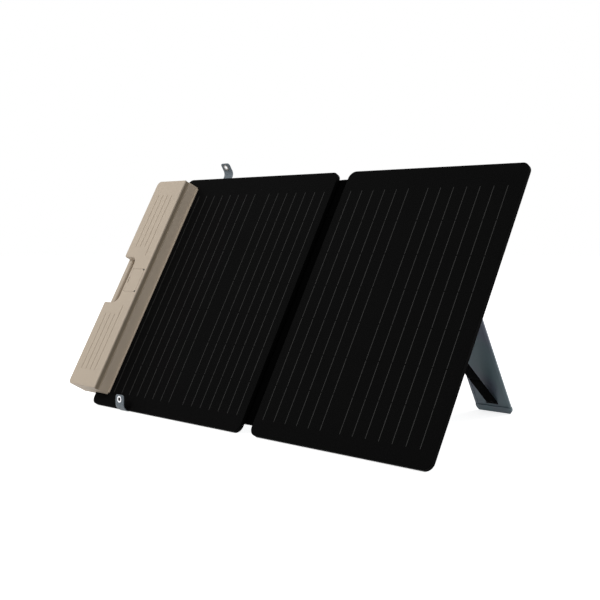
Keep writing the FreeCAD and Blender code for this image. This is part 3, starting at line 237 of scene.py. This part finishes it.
def mottled(name, colour, other):
    """Satin sheet that drifts between two tones over a hand's width, with fine scuffs."""
    made = material(name, colour, 0.5)
    g = Graph(made)
    patches = g.noise(g.mapped(LIE_FLAT, (1, 0.5, 1)), 13.0, 3.0, 0.45)
    scuffs = g.noise(g.mapped(LIE_FLAT, (1, 0.15, 1)), 900.0, 4.0, 0.6)
    tone = g.maths("ADD", g.maths("MULTIPLY", patches, 0.85), g.maths("MULTIPLY", scuffs, 0.15))
    g.colour(g.mixed(g.ramp(tone, 0.4, 0.6), colour, other))
    g.roughness(g.ramp(scuffs, 0.3, 0.7, 0.42, 0.58))
    g.bump(g.maths("ADD", g.cells(g.coords, 1100.0), scuffs), 0.00004)
    return made


def brushed(name, colour, roughness, stretch=(1, 1, 1)):
    """Bright metal with fine drawn lines and a little handling haze."""
    made = material(name, colour, roughness, metallic=1.0)
    g = Graph(made)
    lines = g.noise(g.mapped((0, 0, 0), stretch), 900.0, 3.0)
    haze = g.noise(g.coords, 160.0, 4.0, 0.6)
    g.roughness(g.ramp(g.maths("ADD", g.maths("MULTIPLY", lines, 0.5),
                               g.maths("MULTIPLY", haze, 0.5)), 0.3, 0.7,
                       roughness - 0.07, roughness + 0.12))
    g.colour(g.mixed(haze, colour, tuple(c * 0.82 for c in colour)))
    g.bump(lines, 0.00001)
    return made


def painted_band_shade(g, base):
    """Painted shade: darkens the shell's colour in the sunk band that runs under its lid on the inner wall, where
    the lid's lip shades it.
    """
    rise = g.measured(OUT)
    across = g.measured(ACROSS)
    inner = LEFT_X[0] + SHELL_TUCK
    low, high = SHELL_BAND
    # Mask of the painted shade: the band's height range, on the inner wall only.
    painted_shade_mask = g.maths("MULTIPLY", g.ramp(rise, low - 0.6, low + 1.8), g.ramp(rise, high + 0.8, high - 0.4))
    painted_shade_mask = g.maths("MULTIPLY", painted_shade_mask, g.ramp(across, inner - 15.0, inner - 12.0))
    node = g.add("ShaderNodeMix", data_type="RGBA", blend_type="MULTIPLY")
    g.feed(node.inputs["Factor"], painted_shade_mask)
    g.feed(node.inputs["A"], base)
    # Colour of the painted shade, multiplied into the band.
    node.inputs["B"].default_value = (0.5, 0.48, 0.43, 1)
    return node.outputs["Result"]


SHELL_BEIGE = (0.465, 0.388, 0.303)
MATERIALS = {
    "edge_moulding": grained("edge_moulding", (0.0006, 0.0006, 0.0006), (0.0018, 0.0018, 0.0018),
                             0.65, specular=0.02),
    "core_board": grained("core_board", (0.05, 0.05, 0.05), (0.08, 0.08, 0.08), 0.7),
    "cell_laminate": grained("cell_laminate", (0.004, 0.004, 0.005), (0.01, 0.01, 0.012), 0.5,
                             specular=0.2),
    "solar_cell": grained("solar_cell", (0.004, 0.005, 0.012), (0.008, 0.009, 0.02), 0.35),
    "ribbon": brushed("ribbon", (0.6, 0.6, 0.6), 0.35),
    "magnet": brushed("magnet", (0.7, 0.68, 0.62), 0.3),
    "junction": grained("junction", (0.01, 0.01, 0.01), (0.02, 0.02, 0.02), 0.5),
    "diode": grained("diode", (0.012, 0.012, 0.012), (0.02, 0.02, 0.02), 0.3),
    # The shell's colour carries painted shade in the sunk band under its lid.
    "shell": grained("shell", SHELL_BEIGE, tuple(c * 1.07 for c in SHELL_BEIGE), 0.55,
                     specular=0.3, shade=painted_band_shade),
    "grip": grained("grip", tuple(c * 0.97 for c in SHELL_BEIGE), SHELL_BEIGE, 0.5,
                    specular=0.3),
    "gasket": grained("gasket", (0.015, 0.015, 0.015), (0.03, 0.03, 0.03), 0.8),
    "screw": brushed("screw", (0.42, 0.42, 0.42), 0.35),
    "port_bay": grained("port_bay", (0.012, 0.012, 0.012), (0.02, 0.02, 0.02), 0.55),
    "pin": brushed("pin", (0.55, 0.55, 0.55), 0.3),
    "circuit_board": grained("circuit_board", (0.01, 0.09, 0.035), (0.015, 0.13, 0.05), 0.4),
    "circuit_parts": grained("circuit_parts", (0.03, 0.03, 0.035), (0.06, 0.06, 0.06), 0.4),
    "socket": grained("socket", (0.01, 0.01, 0.01), (0.018, 0.018, 0.018), 0.45),
    "usb_sleeve": brushed("usb_sleeve", (0.7, 0.7, 0.7), 0.25),
    "hinge_metal": brushed("hinge_metal", (0.5, 0.52, 0.54), 0.38, (0.05, 1, 1)),
    "rivet": brushed("rivet", (0.62, 0.63, 0.64), 0.32),
    "stand_board": mottled("stand_board", (0.115, 0.13, 0.175), (0.11, 0.165, 0.185)),
    "stand_rim": mottled("stand_rim", (0.16, 0.18, 0.225), (0.145, 0.2, 0.225)),
    "stand_foot": mottled("stand_foot", (0.14, 0.155, 0.19), (0.12, 0.18, 0.205)),
    "backing_fabric": woven("backing_fabric", (0.07, 0.1, 0.12), (0.11, 0.145, 0.17), 0.75, 1.3,
                            sheen=0.2),
    "hinge_fabric": woven("hinge_fabric", (0.0006, 0.0006, 0.0006), (0.0016, 0.0016, 0.0016), 0.95,
                          specular=0.0),
    "strap": woven("strap", (0.0004, 0.0004, 0.0005), (0.0022, 0.0022, 0.0026), 0.9, 1.6, 0.0002,
                   specular=0.02),
    "tab": woven("tab", (0.07, 0.092, 0.11), (0.125, 0.155, 0.18), 0.6, 1.6, 0.0002, sheen=0.2),
    "eyelet": brushed("eyelet", (0.82, 0.83, 0.85), 0.22),
    "lead": grained("lead", (0.0008, 0.0008, 0.0008), (0.0016, 0.0016, 0.0016), 0.8,
                    specular=0.0),
}


def cell_face():
    """The cover film over the black cells: fine embossing, with speckle and a slow drift of tone."""
    made = material("cover_film", (0.002, 0.002, 0.002), 0.6, specular=0.012)
    g = Graph(made)
    flat = g.mapped(LIE_FLAT, (1, 1, 1))
    emboss = g.cells(flat, 620.0)
    drift = g.noise(g.coords, 7.0, 4.0, 0.6)
    speck = g.noise(g.coords, 1500.0, 2.0)
    tone = g.maths("ADD", g.maths("MULTIPLY", emboss, 0.55),
                   g.maths("ADD", g.maths("MULTIPLY", speck, 0.25),
                           g.maths("MULTIPLY", drift, 0.2)))
    g.colour(g.mixed(g.ramp(tone, 0.2, 0.75), (0.0007, 0.0007, 0.0007), (0.0032, 0.0032, 0.0032)))
    g.bump(emboss, 0.00012)
    return made


MATERIALS["cover_film"] = cell_face()
MATERIALS["stitch"] = woven("stitch", (0.01, 0.012, 0.014), (0.03, 0.034, 0.04), 0.7, 0.6)

SLOT_OF = {entry["node"]: entry["material_slot"] for entry in frame["record"]["subparts"]}
for name, node in frame["nodes"].items():
    node.data.materials.clear()
    node.data.materials.append(MATERIALS[SLOT_OF[name]])


# ------------------------------------------------------------- mesh helpers
def mesh_object(name, vertices, faces, finish, smooth=True):
    data = bpy.data.meshes.new(name)
    data.from_pydata([tuple(v) for v in vertices], [], faces)
    data.validate()
    data.update()
    made = bpy.data.objects.new(name, data)
    bpy.context.scene.collection.objects.link(made)
    data.materials.append(MATERIALS[finish])
    for face in data.polygons:
        face.use_smooth = smooth
    return made


def closed_sheet(name, rows, cols, top, bottom, finish, skip=None):
    """A thin closed sheet between two height fields, top(i, j) and bottom(i, j)."""
    vertices, faces = [], []
    for face_of in (top, bottom):
        for i in range(rows):
            for j in range(cols):
                vertices.append(face_of(i, j))
    count = rows * cols

    def at(i, j, layer):
        return layer * count + i * cols + j

    for i in range(rows - 1):
        for j in range(cols - 1):
            faces.append((at(i, j, 0), at(i, j + 1, 0), at(i + 1, j + 1, 0), at(i + 1, j, 0)))
            faces.append((at(i, j, 1), at(i + 1, j, 1), at(i + 1, j + 1, 1), at(i, j + 1, 1)))
    for i in range(rows - 1):
        faces.append((at(i, 0, 0), at(i + 1, 0, 0), at(i + 1, 0, 1), at(i, 0, 1)))
        j = cols - 1
        faces.append((at(i, j, 0), at(i, j, 1), at(i + 1, j, 1), at(i + 1, j, 0)))
    for j in range(cols - 1):
        faces.append((at(0, j, 0), at(0, j, 1), at(0, j + 1, 1), at(0, j + 1, 0)))
        i = rows - 1
        faces.append((at(i, j, 0), at(i, j + 1, 0), at(i, j + 1, 1), at(i, j, 1)))
    return mesh_object(name, vertices, faces, finish)


def strip_between(name, xs, ss, low, high, finish):
    """A flat closed sheet over a grid of x and s lines, from low to high in n."""
    return closed_sheet(name, len(xs), len(ss),
                        lambda i, j: place(xs[i], ss[j], high),
                        lambda i, j: place(xs[i], ss[j], low), finish)


def spread(first, last, count):
    return [first + (last - first) * i / (count - 1) for i in range(count)]


def joined_boxes(name, boxes, finish):
    """Many small closed boxes, each eight places, as one mesh."""
    vertices, faces = [], []
    for corners in boxes:
        base = len(vertices)
        vertices += corners
        for quad in ((0, 3, 2, 1), (4, 5, 6, 7), (0, 1, 5, 4), (1, 2, 6, 5), (2, 3, 7, 6),
                     (3, 0, 4, 7)):
            faces.append(tuple(base + k for k in quad))
    return mesh_object(name, vertices, faces, finish, smooth=False)


def flat_box(x0, x1, s0, s1, n0, n1):
    return [place(x, s, n) for n in (n0, n1)
            for x, s in ((x0, s0), (x1, s0), (x1, s1), (x0, s1))]


# ------------------------------------------------- ribbons seen through film
RIBBON_WIDTH = 1.2
RIBBON_SHOWS = 0.06
CELL_ROWS = 7
CELL_LOW, CELL_HIGH = 32.0, 515.0
COLUMN_GAP = 17.0
FOLD_MARGIN = 7.0
COLUMNS = {
    "right": (RIGHT_X[0] + FOLD_MARGIN, RIGHT_X[1] - 16.3, (6, 7)),
    "left": (LEFT_X[0] + 43.6 + 5.5, LEFT_X[1] - FOLD_MARGIN, (8, 7)),
}


def ribbon_places(side):
    first, last, counts = COLUMNS[side]
    pitch = (last - first - COLUMN_GAP) / sum(counts)
    xs = [first + pitch * (i + 0.5) for i in range(counts[0])]
    second = first + pitch * counts[0] + COLUMN_GAP
    return xs + [second + pitch * (i + 0.5) for i in range(counts[1])]


def ribbons(side):
    """Each ribbon as seven lengths with a short break between cells."""
    step = (CELL_HIGH - CELL_LOW + 2.0) / CELL_ROWS
    boxes = []
    for x in ribbon_places(side):
        for row in range(CELL_ROWS):
            low = CELL_LOW + row * step
            boxes.append(flat_box(x - RIBBON_WIDTH / 2, x + RIBBON_WIDTH / 2,
                                  low, low + step - 2.0, -0.02, RIBBON_SHOWS))
    made = joined_boxes(side + "_busbars", boxes, "busbar")
    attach(made, side + "_leaf")
    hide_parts(side + "_cell_ribbons")


busbar = material("busbar", (0.018, 0.018, 0.017), 0.5, specular=0.1)
busbar_graph = Graph(busbar)
busbar_graph.colour(busbar_graph.mixed(
    busbar_graph.noise(busbar_graph.coords, 220.0, 3.0), (0.008, 0.008, 0.008),
    (0.03, 0.03, 0.028)))
MATERIALS["busbar"] = busbar
for side in ("left", "right"):
    ribbons(side)

# ------------------------------------------------------------ fabric over the fold
HINGE_X = (FOLD_X - 26.7, FOLD_X + 26.7)
HINGE_S = (20.0, LEAF_LENGTH - 13.0)


def hinge_fabric():
    """One strip of cloth sewn on both backs, dipping a little between them."""
    xs = spread(*HINGE_X, 45)
    ss = spread(*HINGE_S, 131)

    def height(i, j):
        away = abs(xs[i] - FOLD_X) / 14.7
        dip = 0.5 * (1 + math.cos(math.pi * away)) if away < 1 else 0.0
        ripple = math.sin(ss[j] / 9.0) * math.sin(ss[j] / 23.0)
        return BACK + dip * (0.6 + 0.25 * ripple) - 0.05

    made = closed_sheet("fold_fabric", len(xs), len(ss),
                        lambda i, j: place(xs[i], ss[j], height(i, j)),
                        lambda i, j: place(xs[i], ss[j], height(i, j) - 0.7), "hinge_fabric")
    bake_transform(made)
    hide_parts("left_hinge_fabric", "right_hinge_fabric")


hinge_fabric()

# ------------------------------------------------------------------- flat lead
LEAD_S = 464.0
LEAD_WIDTH = 7.0
LEAD_FLOOR = BACK + 0.8
LEAD_T = 2.4
LEAD_ENDS = (-899.4, -342.4)


def lead():
    """The flat lead through both leaves and across the fold."""
    near = 40.0
    xs = (spread(LEAD_ENDS[0], FOLD_X - near, 12)[:-1] + spread(FOLD_X - near, FOLD_X + near, 61)
          + spread(FOLD_X + near, LEAD_ENDS[1], 4)[1:])
    profile = []
    half, corner = LEAD_WIDTH / 2, 0.7
    for cs, cn, start in ((half - corner, LEAD_T - corner, 0), (-half + corner, LEAD_T - corner, 90),
                          (-half + corner, corner, 180), (half - corner, corner, 270)):
        for k in range(4):
            a = math.radians(start + 30 * k)
            profile.append((cs + corner * math.cos(a), cn + corner * math.sin(a)))
    vertices = [place(x, LEAD_S + ds, LEAD_FLOOR + dn) for x in xs for ds, dn in profile]
    ring = len(profile)
    faces = []
    for i in range(len(xs) - 1):
        for k in range(ring):
            m = (k + 1) % ring
            faces.append((i * ring + k, i * ring + m, (i + 1) * ring + m, (i + 1) * ring + k))
    faces.append(tuple(range(ring))[::-1])
    faces.append(tuple((len(xs) - 1) * ring + k for k in range(ring)))
    made = mesh_object("flat_lead", vertices, faces, "lead")
    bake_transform(made)
    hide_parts("left_lead", "right_lead")


lead()

# -------------------------------------------------------------------- straps
STAND_AXIS = (534.0, -13.2)
STAND_OPEN = math.radians(JOINTS["right_stand_fold"]["range_deg"][1] + 0.2)
STRAP_WIDTH, STRAP_T = 28.0, 1.4
STRAP_LEAF_END = (358.0, -10.3)
STRAP_ON_STAND = (504.0, 1.6)
STRAP_PARTS = 8
LEAF_PATCH, STAND_PATCH = 22.0, 9.0
STAND_X = {"right": -238.5, "left": 2 * FOLD_X + 238.5}


def swung(away, rise):
    """A point of the folded stand, swung to its standing place, as s and n."""
    return (STAND_AXIS[0] - away * math.cos(STAND_OPEN) - rise * math.sin(STAND_OPEN),
            STAND_AXIS[1] - away * math.sin(STAND_OPEN) + rise * math.cos(STAND_OPEN))


def eased(weight):
    """The share of the way at which a smooth step has reached weight."""
    low, high = 0.0, 1.0
    for _ in range(40):
        middle = (low + high) / 2
        if middle * middle * (3 - 2 * middle) < weight:
            low = middle
        else:
            high = middle
    return (low + high) / 2


def strap(side):
    """Webbing held at both ends, made as lengths along the straight line between them."""
    begin, end = STRAP_LEAF_END, swung(*STRAP_ON_STAND)
    length = math.dist(begin, end)
    along = ((end[0] - begin[0]) / length, (end[1] - begin[1]) / length)
    across = (-along[1], along[0])
    lay = math.atan2(begin[1] - STAND_AXIS[1], STAND_AXIS[0] - begin[0])

    def at(t):
        return begin[0] + along[0] * length * t, begin[1] + along[1] * length * t

    def weight(t):
        s, n = at(t)
        here = math.atan2(STAND_AXIS[1] - n, STAND_AXIS[0] - s) + lay
        there = math.atan2(STAND_AXIS[1] - end[1], STAND_AXIS[0] - end[0]) + lay
        return max(0.0, min(1.0, here / there))

    shares = [(k / STRAP_PARTS) ** 1.5 for k in range(STRAP_PARTS + 1)]
    x = STAND_X[side]
    pieces = []
    for k in range(STRAP_PARTS):
        t0, t1 = shares[k], shares[k + 1]
        ts = spread(t0, t1, 9)
        xs = spread(x - STRAP_WIDTH / 2, x + STRAP_WIDTH / 2, 15)

        def face(sign):
            def at_grid(i, j):
                s, n = at(ts[i])
                edge = abs(xs[j] - x) / (STRAP_WIDTH / 2)
                half = sign * STRAP_T / 2 * (1 - 0.25 * edge ** 6)
                return place(xs[j], s + across[0] * half, n + across[1] * half)
            return at_grid

        made = closed_sheet(f"{side}_strap_part_{k + 1}", len(ts), len(xs), face(1), face(-1),
                            "strap")
        u0, u1 = eased(weight(t0)), eased(weight(t1))
        per = (t1 - t0) / (u1 - u0)
        first, last = at(t0 - u0 * per), at(t0 + (1 - u0) * per)
        place(x, *first)
        place(x, *last)
        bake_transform(made)
        pieces.append(made)
    for made in pieces:
        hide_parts(side + "_strap")


for side in ("right", "left"):
    strap(side)

# -------------------------------------------------------------------- stitches
STITCH_LONG, STITCH_STEP, STITCH_WIDE, STITCH_RISE = 3.0, 4.4, 0.7, 0.3


def stitch(begin, end, out, wide=STITCH_WIDE, rise=STITCH_RISE):
    """The eight corners of one low stitch between two places on a surface."""
    along = (end - begin).normalized()
    side = along.cross(out).normalized() * wide * MM / 2
    low, high = -out * 0.15 * MM, out * rise * MM
    tuck = (end - begin) * 0.2
    base = [begin - side, end - side, end + side, begin + side]
    top = [begin + tuck - side * 0.5, end - tuck - side * 0.5,
           end - tuck + side * 0.5, begin + tuck + side * 0.5]
    return [p + low for p in base] + [p + high for p in top]


def seam(points, out, step=STITCH_STEP, long=STITCH_LONG):
    """Stitches along straight runs between places, on a surface facing out."""
    made = []
    for begin, end in zip(points, points[1:]):
        run = end - begin
        count = max(1, round(run.length / (step * MM)))
        for k in range(count):
            middle = begin + run * ((k + 0.5) / count)
            half = run.normalized() * long * MM / 2
            made.append(stitch(middle - half, middle + half, out))
    return made


def rounded_loop(x0, x1, s0, s1, radius, n):
    """Places round a rectangle with rounded corners, ending where they start."""
    places = []
    for cx, cs, start in ((x1 - radius, s0 + radius, -90), (x1 - radius, s1 - radius, 0),
                          (x0 + radius, s1 - radius, 90), (x0 + radius, s0 + radius, 180)):
        for k in range(5):
            a = math.radians(start + 22.5 * k)
            places.append(place(cx + radius * math.cos(a), cs + radius * math.sin(a), n))
    return places + places[:1]


def cut_by(made, cutters):
    """Cut round holes through a sheet. Each cutter is a middle, a way and a radius."""
    mesh = bmesh.new()
    for middle, way, radius in cutters:
        turn = way.to_track_quat("Z", "Y").to_matrix().to_4x4()
        turn.translation = middle
        bmesh.ops.create_cone(mesh, cap_ends=True, segments=40, radius1=radius * MM,
                              radius2=radius * MM, depth=8 * MM, matrix=turn)
    data = bpy.data.meshes.new("cutter")
    mesh.to_mesh(data)
    mesh.free()
    tool = bpy.data.objects.new("cutter", data)
    bpy.context.scene.collection.objects.link(tool)
    cut = made.modifiers.new("holes", "BOOLEAN")
    cut.object, cut.operation, cut.solver = tool, "DIFFERENCE", "EXACT"
    bpy.context.view_layer.update()
    evaluated = made.evaluated_get(bpy.context.evaluated_depsgraph_get())
    whole = bpy.data.meshes.new_from_object(evaluated)
    made.modifiers.clear()
    made.data = whole
    bpy.data.objects.remove(tool)
    return made


# ----------------------------------------------------------------- back fabric
CLAMP_SCREWS = [(LEFT_X[0] + 21.8, 281.5 + way * away) for away in (67.0, 149.75, 232.5)
                for way in (-1, 1)]


def backing(side, x):
    """Woven cloth over the whole back, a little puckered along its seam."""
    inset = RIM_WALL + 0.1
    low, high = inset, LEAF_LENGTH - inset
    xs = spread(x[0] + inset, x[1] - inset, 96)
    ss = spread(low, high, 126)
    corner = LEAF_CORNER_R - inset

    def held(i, j):
        """Grid places drawn in at the four rounded corners."""
        px, ps = xs[i], ss[j]
        cx = min(max(px, xs[0] + corner), xs[-1] - corner)
        cs = min(max(ps, low + corner), high - corner)
        dx, ds = px - cx, ps - cs
        far = math.hypot(dx, ds)
        if far > 1e-9 and dx and ds:
            reach = max(abs(dx), abs(ds))
            px, ps = cx + dx * reach / far, cs + ds * reach / far
        return px, ps

    def under(i, j):
        px, ps = held(i, j)
        edge = min(px - xs[0], xs[-1] - px, ps - low, high - ps)
        near = math.exp(-((edge - 8.0) / 4.0) ** 2)
        pucker = math.sin(px / 3.1) * math.sin(ps / 2.7 + 0.6 * math.sin(px / 17.0))
        slack = math.sin(px / 61.0 + 1.0) * math.sin(ps / 83.0 + 2.0)
        return place(px, ps, BACK + 0.06 - 0.14 * near * pucker - 0.05 * slack)

    def over(i, j):
        return place(*held(i, j), BACK + 0.8)

    made = closed_sheet(side + "_backing", len(xs), len(ss), over, under, "backing_fabric")
    if side == "left":
        cut_by(made, [(place(cx, cs, BACK + 0.5), OUT, 3.2) for cx, cs in CLAMP_SCREWS])
    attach(made, side + "_leaf")
    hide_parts(side + "_back_fabric")

    lines = seam(rounded_loop(x[0] + 8, x[1] - 8, 8, LEAF_LENGTH - 8, 9, BACK), -OUT)
    near = FOLD_X + (19.0 if side == "right" else -19.0)
    away = FOLD_X + (23.5 if side == "right" else -23.5)
    for sx in (near, away):
        lines += seam([place(sx, 24, BACK - 0.75), place(sx, 536, BACK - 0.75)], -OUT)
    threads = joined_boxes(side + "_back_stitches", lines, "stitch")
    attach(threads, side + "_leaf")


backing("right", RIGHT_X)
backing("left", LEFT_X)

# --------------------------------------------------------------- strap patches


def patch(name, corner, along, across, out, body, long, replaced=None):
    """A stitched patch as wide as the strap, with a boxed cross sewn through it."""
    wide, deep, thick = STRAP_WIDTH * MM, long * MM, 1.0 * MM
    count_a, count_b = 23, 29

    def height(i, j, top):
        a, b = i / (count_a - 1), j / (count_b - 1)
        edge = min(a, 1 - a, b, 1 - b)
        crown = min(1.0, edge / 0.08) ** 0.5
        p = corner + along * (deep * a) + across * (wide * b)
        return p + out * (thick * (0.45 + 0.45 * crown) if top else 0.0)

    made = closed_sheet(name, count_a, count_b, lambda i, j: height(i, j, True),
                        lambda i, j: height(i, j, False), "strap")
    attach(made, body)
    if replaced:
        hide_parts(replaced)
    lift = out * 0.88 * thick
    a0, a1, b0, b1 = 0.14 * deep, 0.86 * deep, 0.12 * wide, 0.88 * wide
    corners = [corner + along * a + across * b + lift
               for a, b in ((a0, b0), (a0, b1), (a1, b1), (a1, b0))]
    loop = corners + corners[:1]
    lines = seam(loop, out, 2.6, 1.9) + seam([corners[0], corners[2]], out, 2.6, 1.9)
    lines += seam([corners[1], corners[3]], out, 2.6, 1.9)
    threads = joined_boxes(name + "_stitches", lines, "thread")
    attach(threads, body)


MATERIALS["thread"] = woven("thread", (0.03, 0.03, 0.032), (0.06, 0.06, 0.064), 0.6, 0.5)
for side in ("right", "left"):
    x = STAND_X[side]
    patch(side + "_leaf_patch", place(x - 14, STRAP_LEAF_END[0] - 11, BACK), UP, ACROSS, -OUT,
          side + "_leaf", LEAF_PATCH, side + "_strap_patch")
    ends = (STRAP_ON_STAND[0] + 5.5, STRAP_ON_STAND[0] + 5.5 - STAND_PATCH)
    first, last = swung(ends[0], 1.3), swung(ends[1], 1.3)
    begin, finish = place(x - 14, *first), place(x - 14, *last)
    way = (finish - begin).normalized()
    patch(side + "_stand_patch", begin, way, ACROSS, ACROSS.cross(way), side + "_stand",
          STAND_PATCH)

# ------------------------------------------------------------------ webbing tabs
TAB_WIDTH, TAB_T = 28.0, 1.6
TAB_TIP_R, EYE_FROM_TIP, EYE_HOLE = 6.0, 9.5, 4.8
TABS = {
    "top_tab": (-782.5, (LEAF_LENGTH + 1.1, -4.5), 0.0, 1, 4.5, 14.0, 62.0, 18.0),
    "low_tab": (-794.5, (-1.1, -4.5), 90.0, -1, 5.5, 14.0, 62.0, 19.0),
}


def tab_line(start, heading, turning, run, bend_r, turn, tail):
    """How far along, to (s, n, heading in radians), for a tab's middle line."""
    arc = math.radians(turn) * bend_r
    h = math.radians(heading)

    def at(d):
        s, n = start
        straight = min(d, run)
        s, n = s + straight * math.cos(h), n + straight * math.sin(h)
        if d <= run:
            return s, n, h
        turned = min(d - run, arc) / bend_r
        cs, cn = s - turning * bend_r * math.sin(h), n + turning * bend_r * math.cos(h)
        now = h + turning * turned
        s, n = cs + turning * bend_r * math.sin(now), cn - turning * bend_r * math.cos(now)
        beyond = max(0.0, d - run - arc)
        return s + beyond * math.cos(now), n + beyond * math.sin(now), now

    return at, run + arc + tail


def tab(name):
    tab_x, *route = TABS[name]
    at, length = tab_line(*route)
    rows = spread(-TAB_T / 2 * 0.9, length - TAB_TIP_R, 34)
    rows += [length - TAB_TIP_R * (1 - math.sin(math.radians(a))) for a in range(10, 91, 8)]
    rows.append(length)
    columns = spread(-1.0, 1.0, 21)

    def face(sign):
        def at_grid(i, j):
            d = rows[i]
            s, n, way = at(max(d, 0.0))
            if d < 0:
                s, n = s + d * math.cos(way), n + d * math.sin(way)
            half = TAB_WIDTH / 2
            over = d - (length - TAB_TIP_R)
            if over > 0:
                inner = max(TAB_TIP_R ** 2 - over ** 2, 0.0)
                half += math.sqrt(inner) - TAB_TIP_R
            edge = abs(columns[j])
            rib = 0.05 * math.cos(columns[j] * math.pi * 8)
            thick = TAB_T / 2 * (1 - 0.35 * edge ** 8) + rib - 0.05
            if d < 0:
                thick *= math.sqrt(max(0.05, 1 - (d / (TAB_T / 2)) ** 2))
            rise = sign * thick
            return place(tab_x + columns[j] * half, s - rise * math.sin(way),
                         n + rise * math.cos(way))
        return at_grid

    made = closed_sheet(name + "_webbing", len(rows), len(columns), face(1), face(-1), "tab")
    s, n, way = at(length - EYE_FROM_TIP)
    cut_by(made, [(place(tab_x, s, n), -UP * math.sin(way) + OUT * math.cos(way), EYE_HOLE)])
    start, stop = at(0.0), at(9.0)
    ends = {"start": place(tab_x, *start[:2]), "end": place(tab_x, *stop[:2])}
    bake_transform(made)
    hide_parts(name)

    lines = []
    for sign in (1, -1):
        for edge in (-11.0, 11.0):
            d = 2.0
            while d < length - EYE_FROM_TIP - 4:
                places = []
                for reach in (d, d + 2.2):
                    s, n, way = at(reach)
                    rise = sign * (TAB_T / 2 - 0.05)
                    places.append(place(tab_x + edge, s - rise * math.sin(way),
                                        n + rise * math.cos(way)))
                out = (-UP * math.sin(way) + OUT * math.cos(way)) * sign
                lines.append(stitch(*places, out, 0.7, 0.25))
                d += 3.2
    threads = joined_boxes(name + "_stitches", lines, "tab_thread")
    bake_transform(threads)


MATERIALS["tab_thread"] = woven("tab_thread", (0.3, 0.33, 0.37), (0.42, 0.45, 0.49), 0.6, 0.5)
for name in TABS:
    tab(name)

# --------------------------------------------------------- camera and the room
right_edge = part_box("right_leaf_rim")[1].x
corner = place(0, 0, 0)
camera = bpy.data.cameras.new("camera")
camera.sensor_width = 36.0
camera.lens = 61.693
eye = bpy.data.objects.new("camera", camera)
bpy.context.scene.collection.objects.link(eye)
eye.location = corner + Vector((0.95213, -1.25404, 0.36993))
eye.rotation_mode = "QUATERNION"
eye.rotation_quaternion = Vector((-0.69901, 0.71194, -0.06715)).to_track_quat("-Z", "Y")
camera.clip_start, camera.clip_end = 0.05, 50.0
bpy.context.scene.camera = eye
bpy.context.scene.view_settings.view_transform = "Standard"


def plane(name, low, high, z):
    data = bpy.data.meshes.new(name)
    data.from_pydata([(low[0], low[1], z), (high[0], low[1], z), (high[0], high[1], z),
                      (low[0], high[1], z)], [], [(0, 1, 2, 3)])
    made = bpy.data.objects.new(name, data)
    bpy.context.scene.collection.objects.link(made)
    return made


def background_rays(tree):
    """1 for the rays that show the background: seen, mirrored or through glass."""
    path = tree.nodes.new("ShaderNodeLightPath")
    total = path.outputs["Is Camera Ray"]
    for kind in ("Is Glossy Ray", "Is Transmission Ray"):
        either = tree.nodes.new("ShaderNodeMath")
        either.operation = "MAXIMUM"
        tree.links.new(total, either.inputs[0])
        tree.links.new(path.outputs[kind], either.inputs[1])
        total = either.outputs[0]
    return total


FLOOR_GLOW, FLOOR_EXTRA = 0.0, 0.75
floor = plane("floor", (-12, -12), (12, 12), -0.0005)
floor_finish = bpy.data.materials.new("floor")
floor_finish.use_nodes = True
tree = floor_finish.node_tree
tree.nodes.clear()
output = tree.nodes.new("ShaderNodeOutputMaterial")
diffuse = tree.nodes.new("ShaderNodeBsdfDiffuse")
diffuse.inputs["Color"].default_value = (0.8, 0.8, 0.8, 1)
glow = tree.nodes.new("ShaderNodeEmission")
glow.inputs["Color"].default_value = (1, 1, 1, 1)
level = tree.nodes.new("ShaderNodeMath")
level.operation = "MULTIPLY_ADD"
level.inputs[1].default_value = FLOOR_EXTRA
level.inputs[2].default_value = FLOOR_GLOW
tree.links.new(background_rays(tree), level.inputs[0])
tree.links.new(level.outputs[0], glow.inputs["Strength"])
both = tree.nodes.new("ShaderNodeAddShader")
tree.links.new(diffuse.outputs[0], both.inputs[0])
tree.links.new(glow.outputs[0], both.inputs[1])
tree.links.new(both.outputs[0], output.inputs["Surface"])
floor.data.materials.append(floor_finish)

world = bpy.data.worlds.new("room")
bpy.context.scene.world = world
world.use_nodes = True
tree = world.node_tree
tree.nodes.clear()
output = tree.nodes.new("ShaderNodeOutputWorld")
seen_room = tree.nodes.new("ShaderNodeBackground")
seen_room.inputs["Color"].default_value = (1, 1, 1, 1)
seen_room.inputs["Strength"].default_value = 1.0
lit_room = tree.nodes.new("ShaderNodeBackground")
lit_room.inputs["Color"].default_value = (1, 1, 1, 1)
lit_room.inputs["Strength"].default_value = 0.45
pick = tree.nodes.new("ShaderNodeMixShader")
tree.links.new(background_rays(tree), pick.inputs[0])
tree.links.new(lit_room.outputs[0], pick.inputs[1])
tree.links.new(seen_room.outputs[0], pick.inputs[2])
tree.links.new(pick.outputs[0], output.inputs["Surface"])


def lamp(name, at, size, power, aim=(0, 0, 0.25)):
    data = bpy.data.lights.new(name, "AREA")
    data.shape = "DISK"
    data.size = size
    data.energy = power
    made = bpy.data.objects.new(name, data)
    bpy.context.scene.collection.objects.link(made)
    made.location = at
    made.rotation_mode = "QUATERNION"
    made.rotation_quaternion = (Vector(aim) - Vector(at)).to_track_quat("-Z", "Y")


lamp("key", (-1.6, -2.6, 2.6), 2.0, 60)
lamp("fill", (3.0, -1.0, 1.8), 2.5, 14)
lamp("back", (0.5, 3.0, 2.2), 2.0, 25)
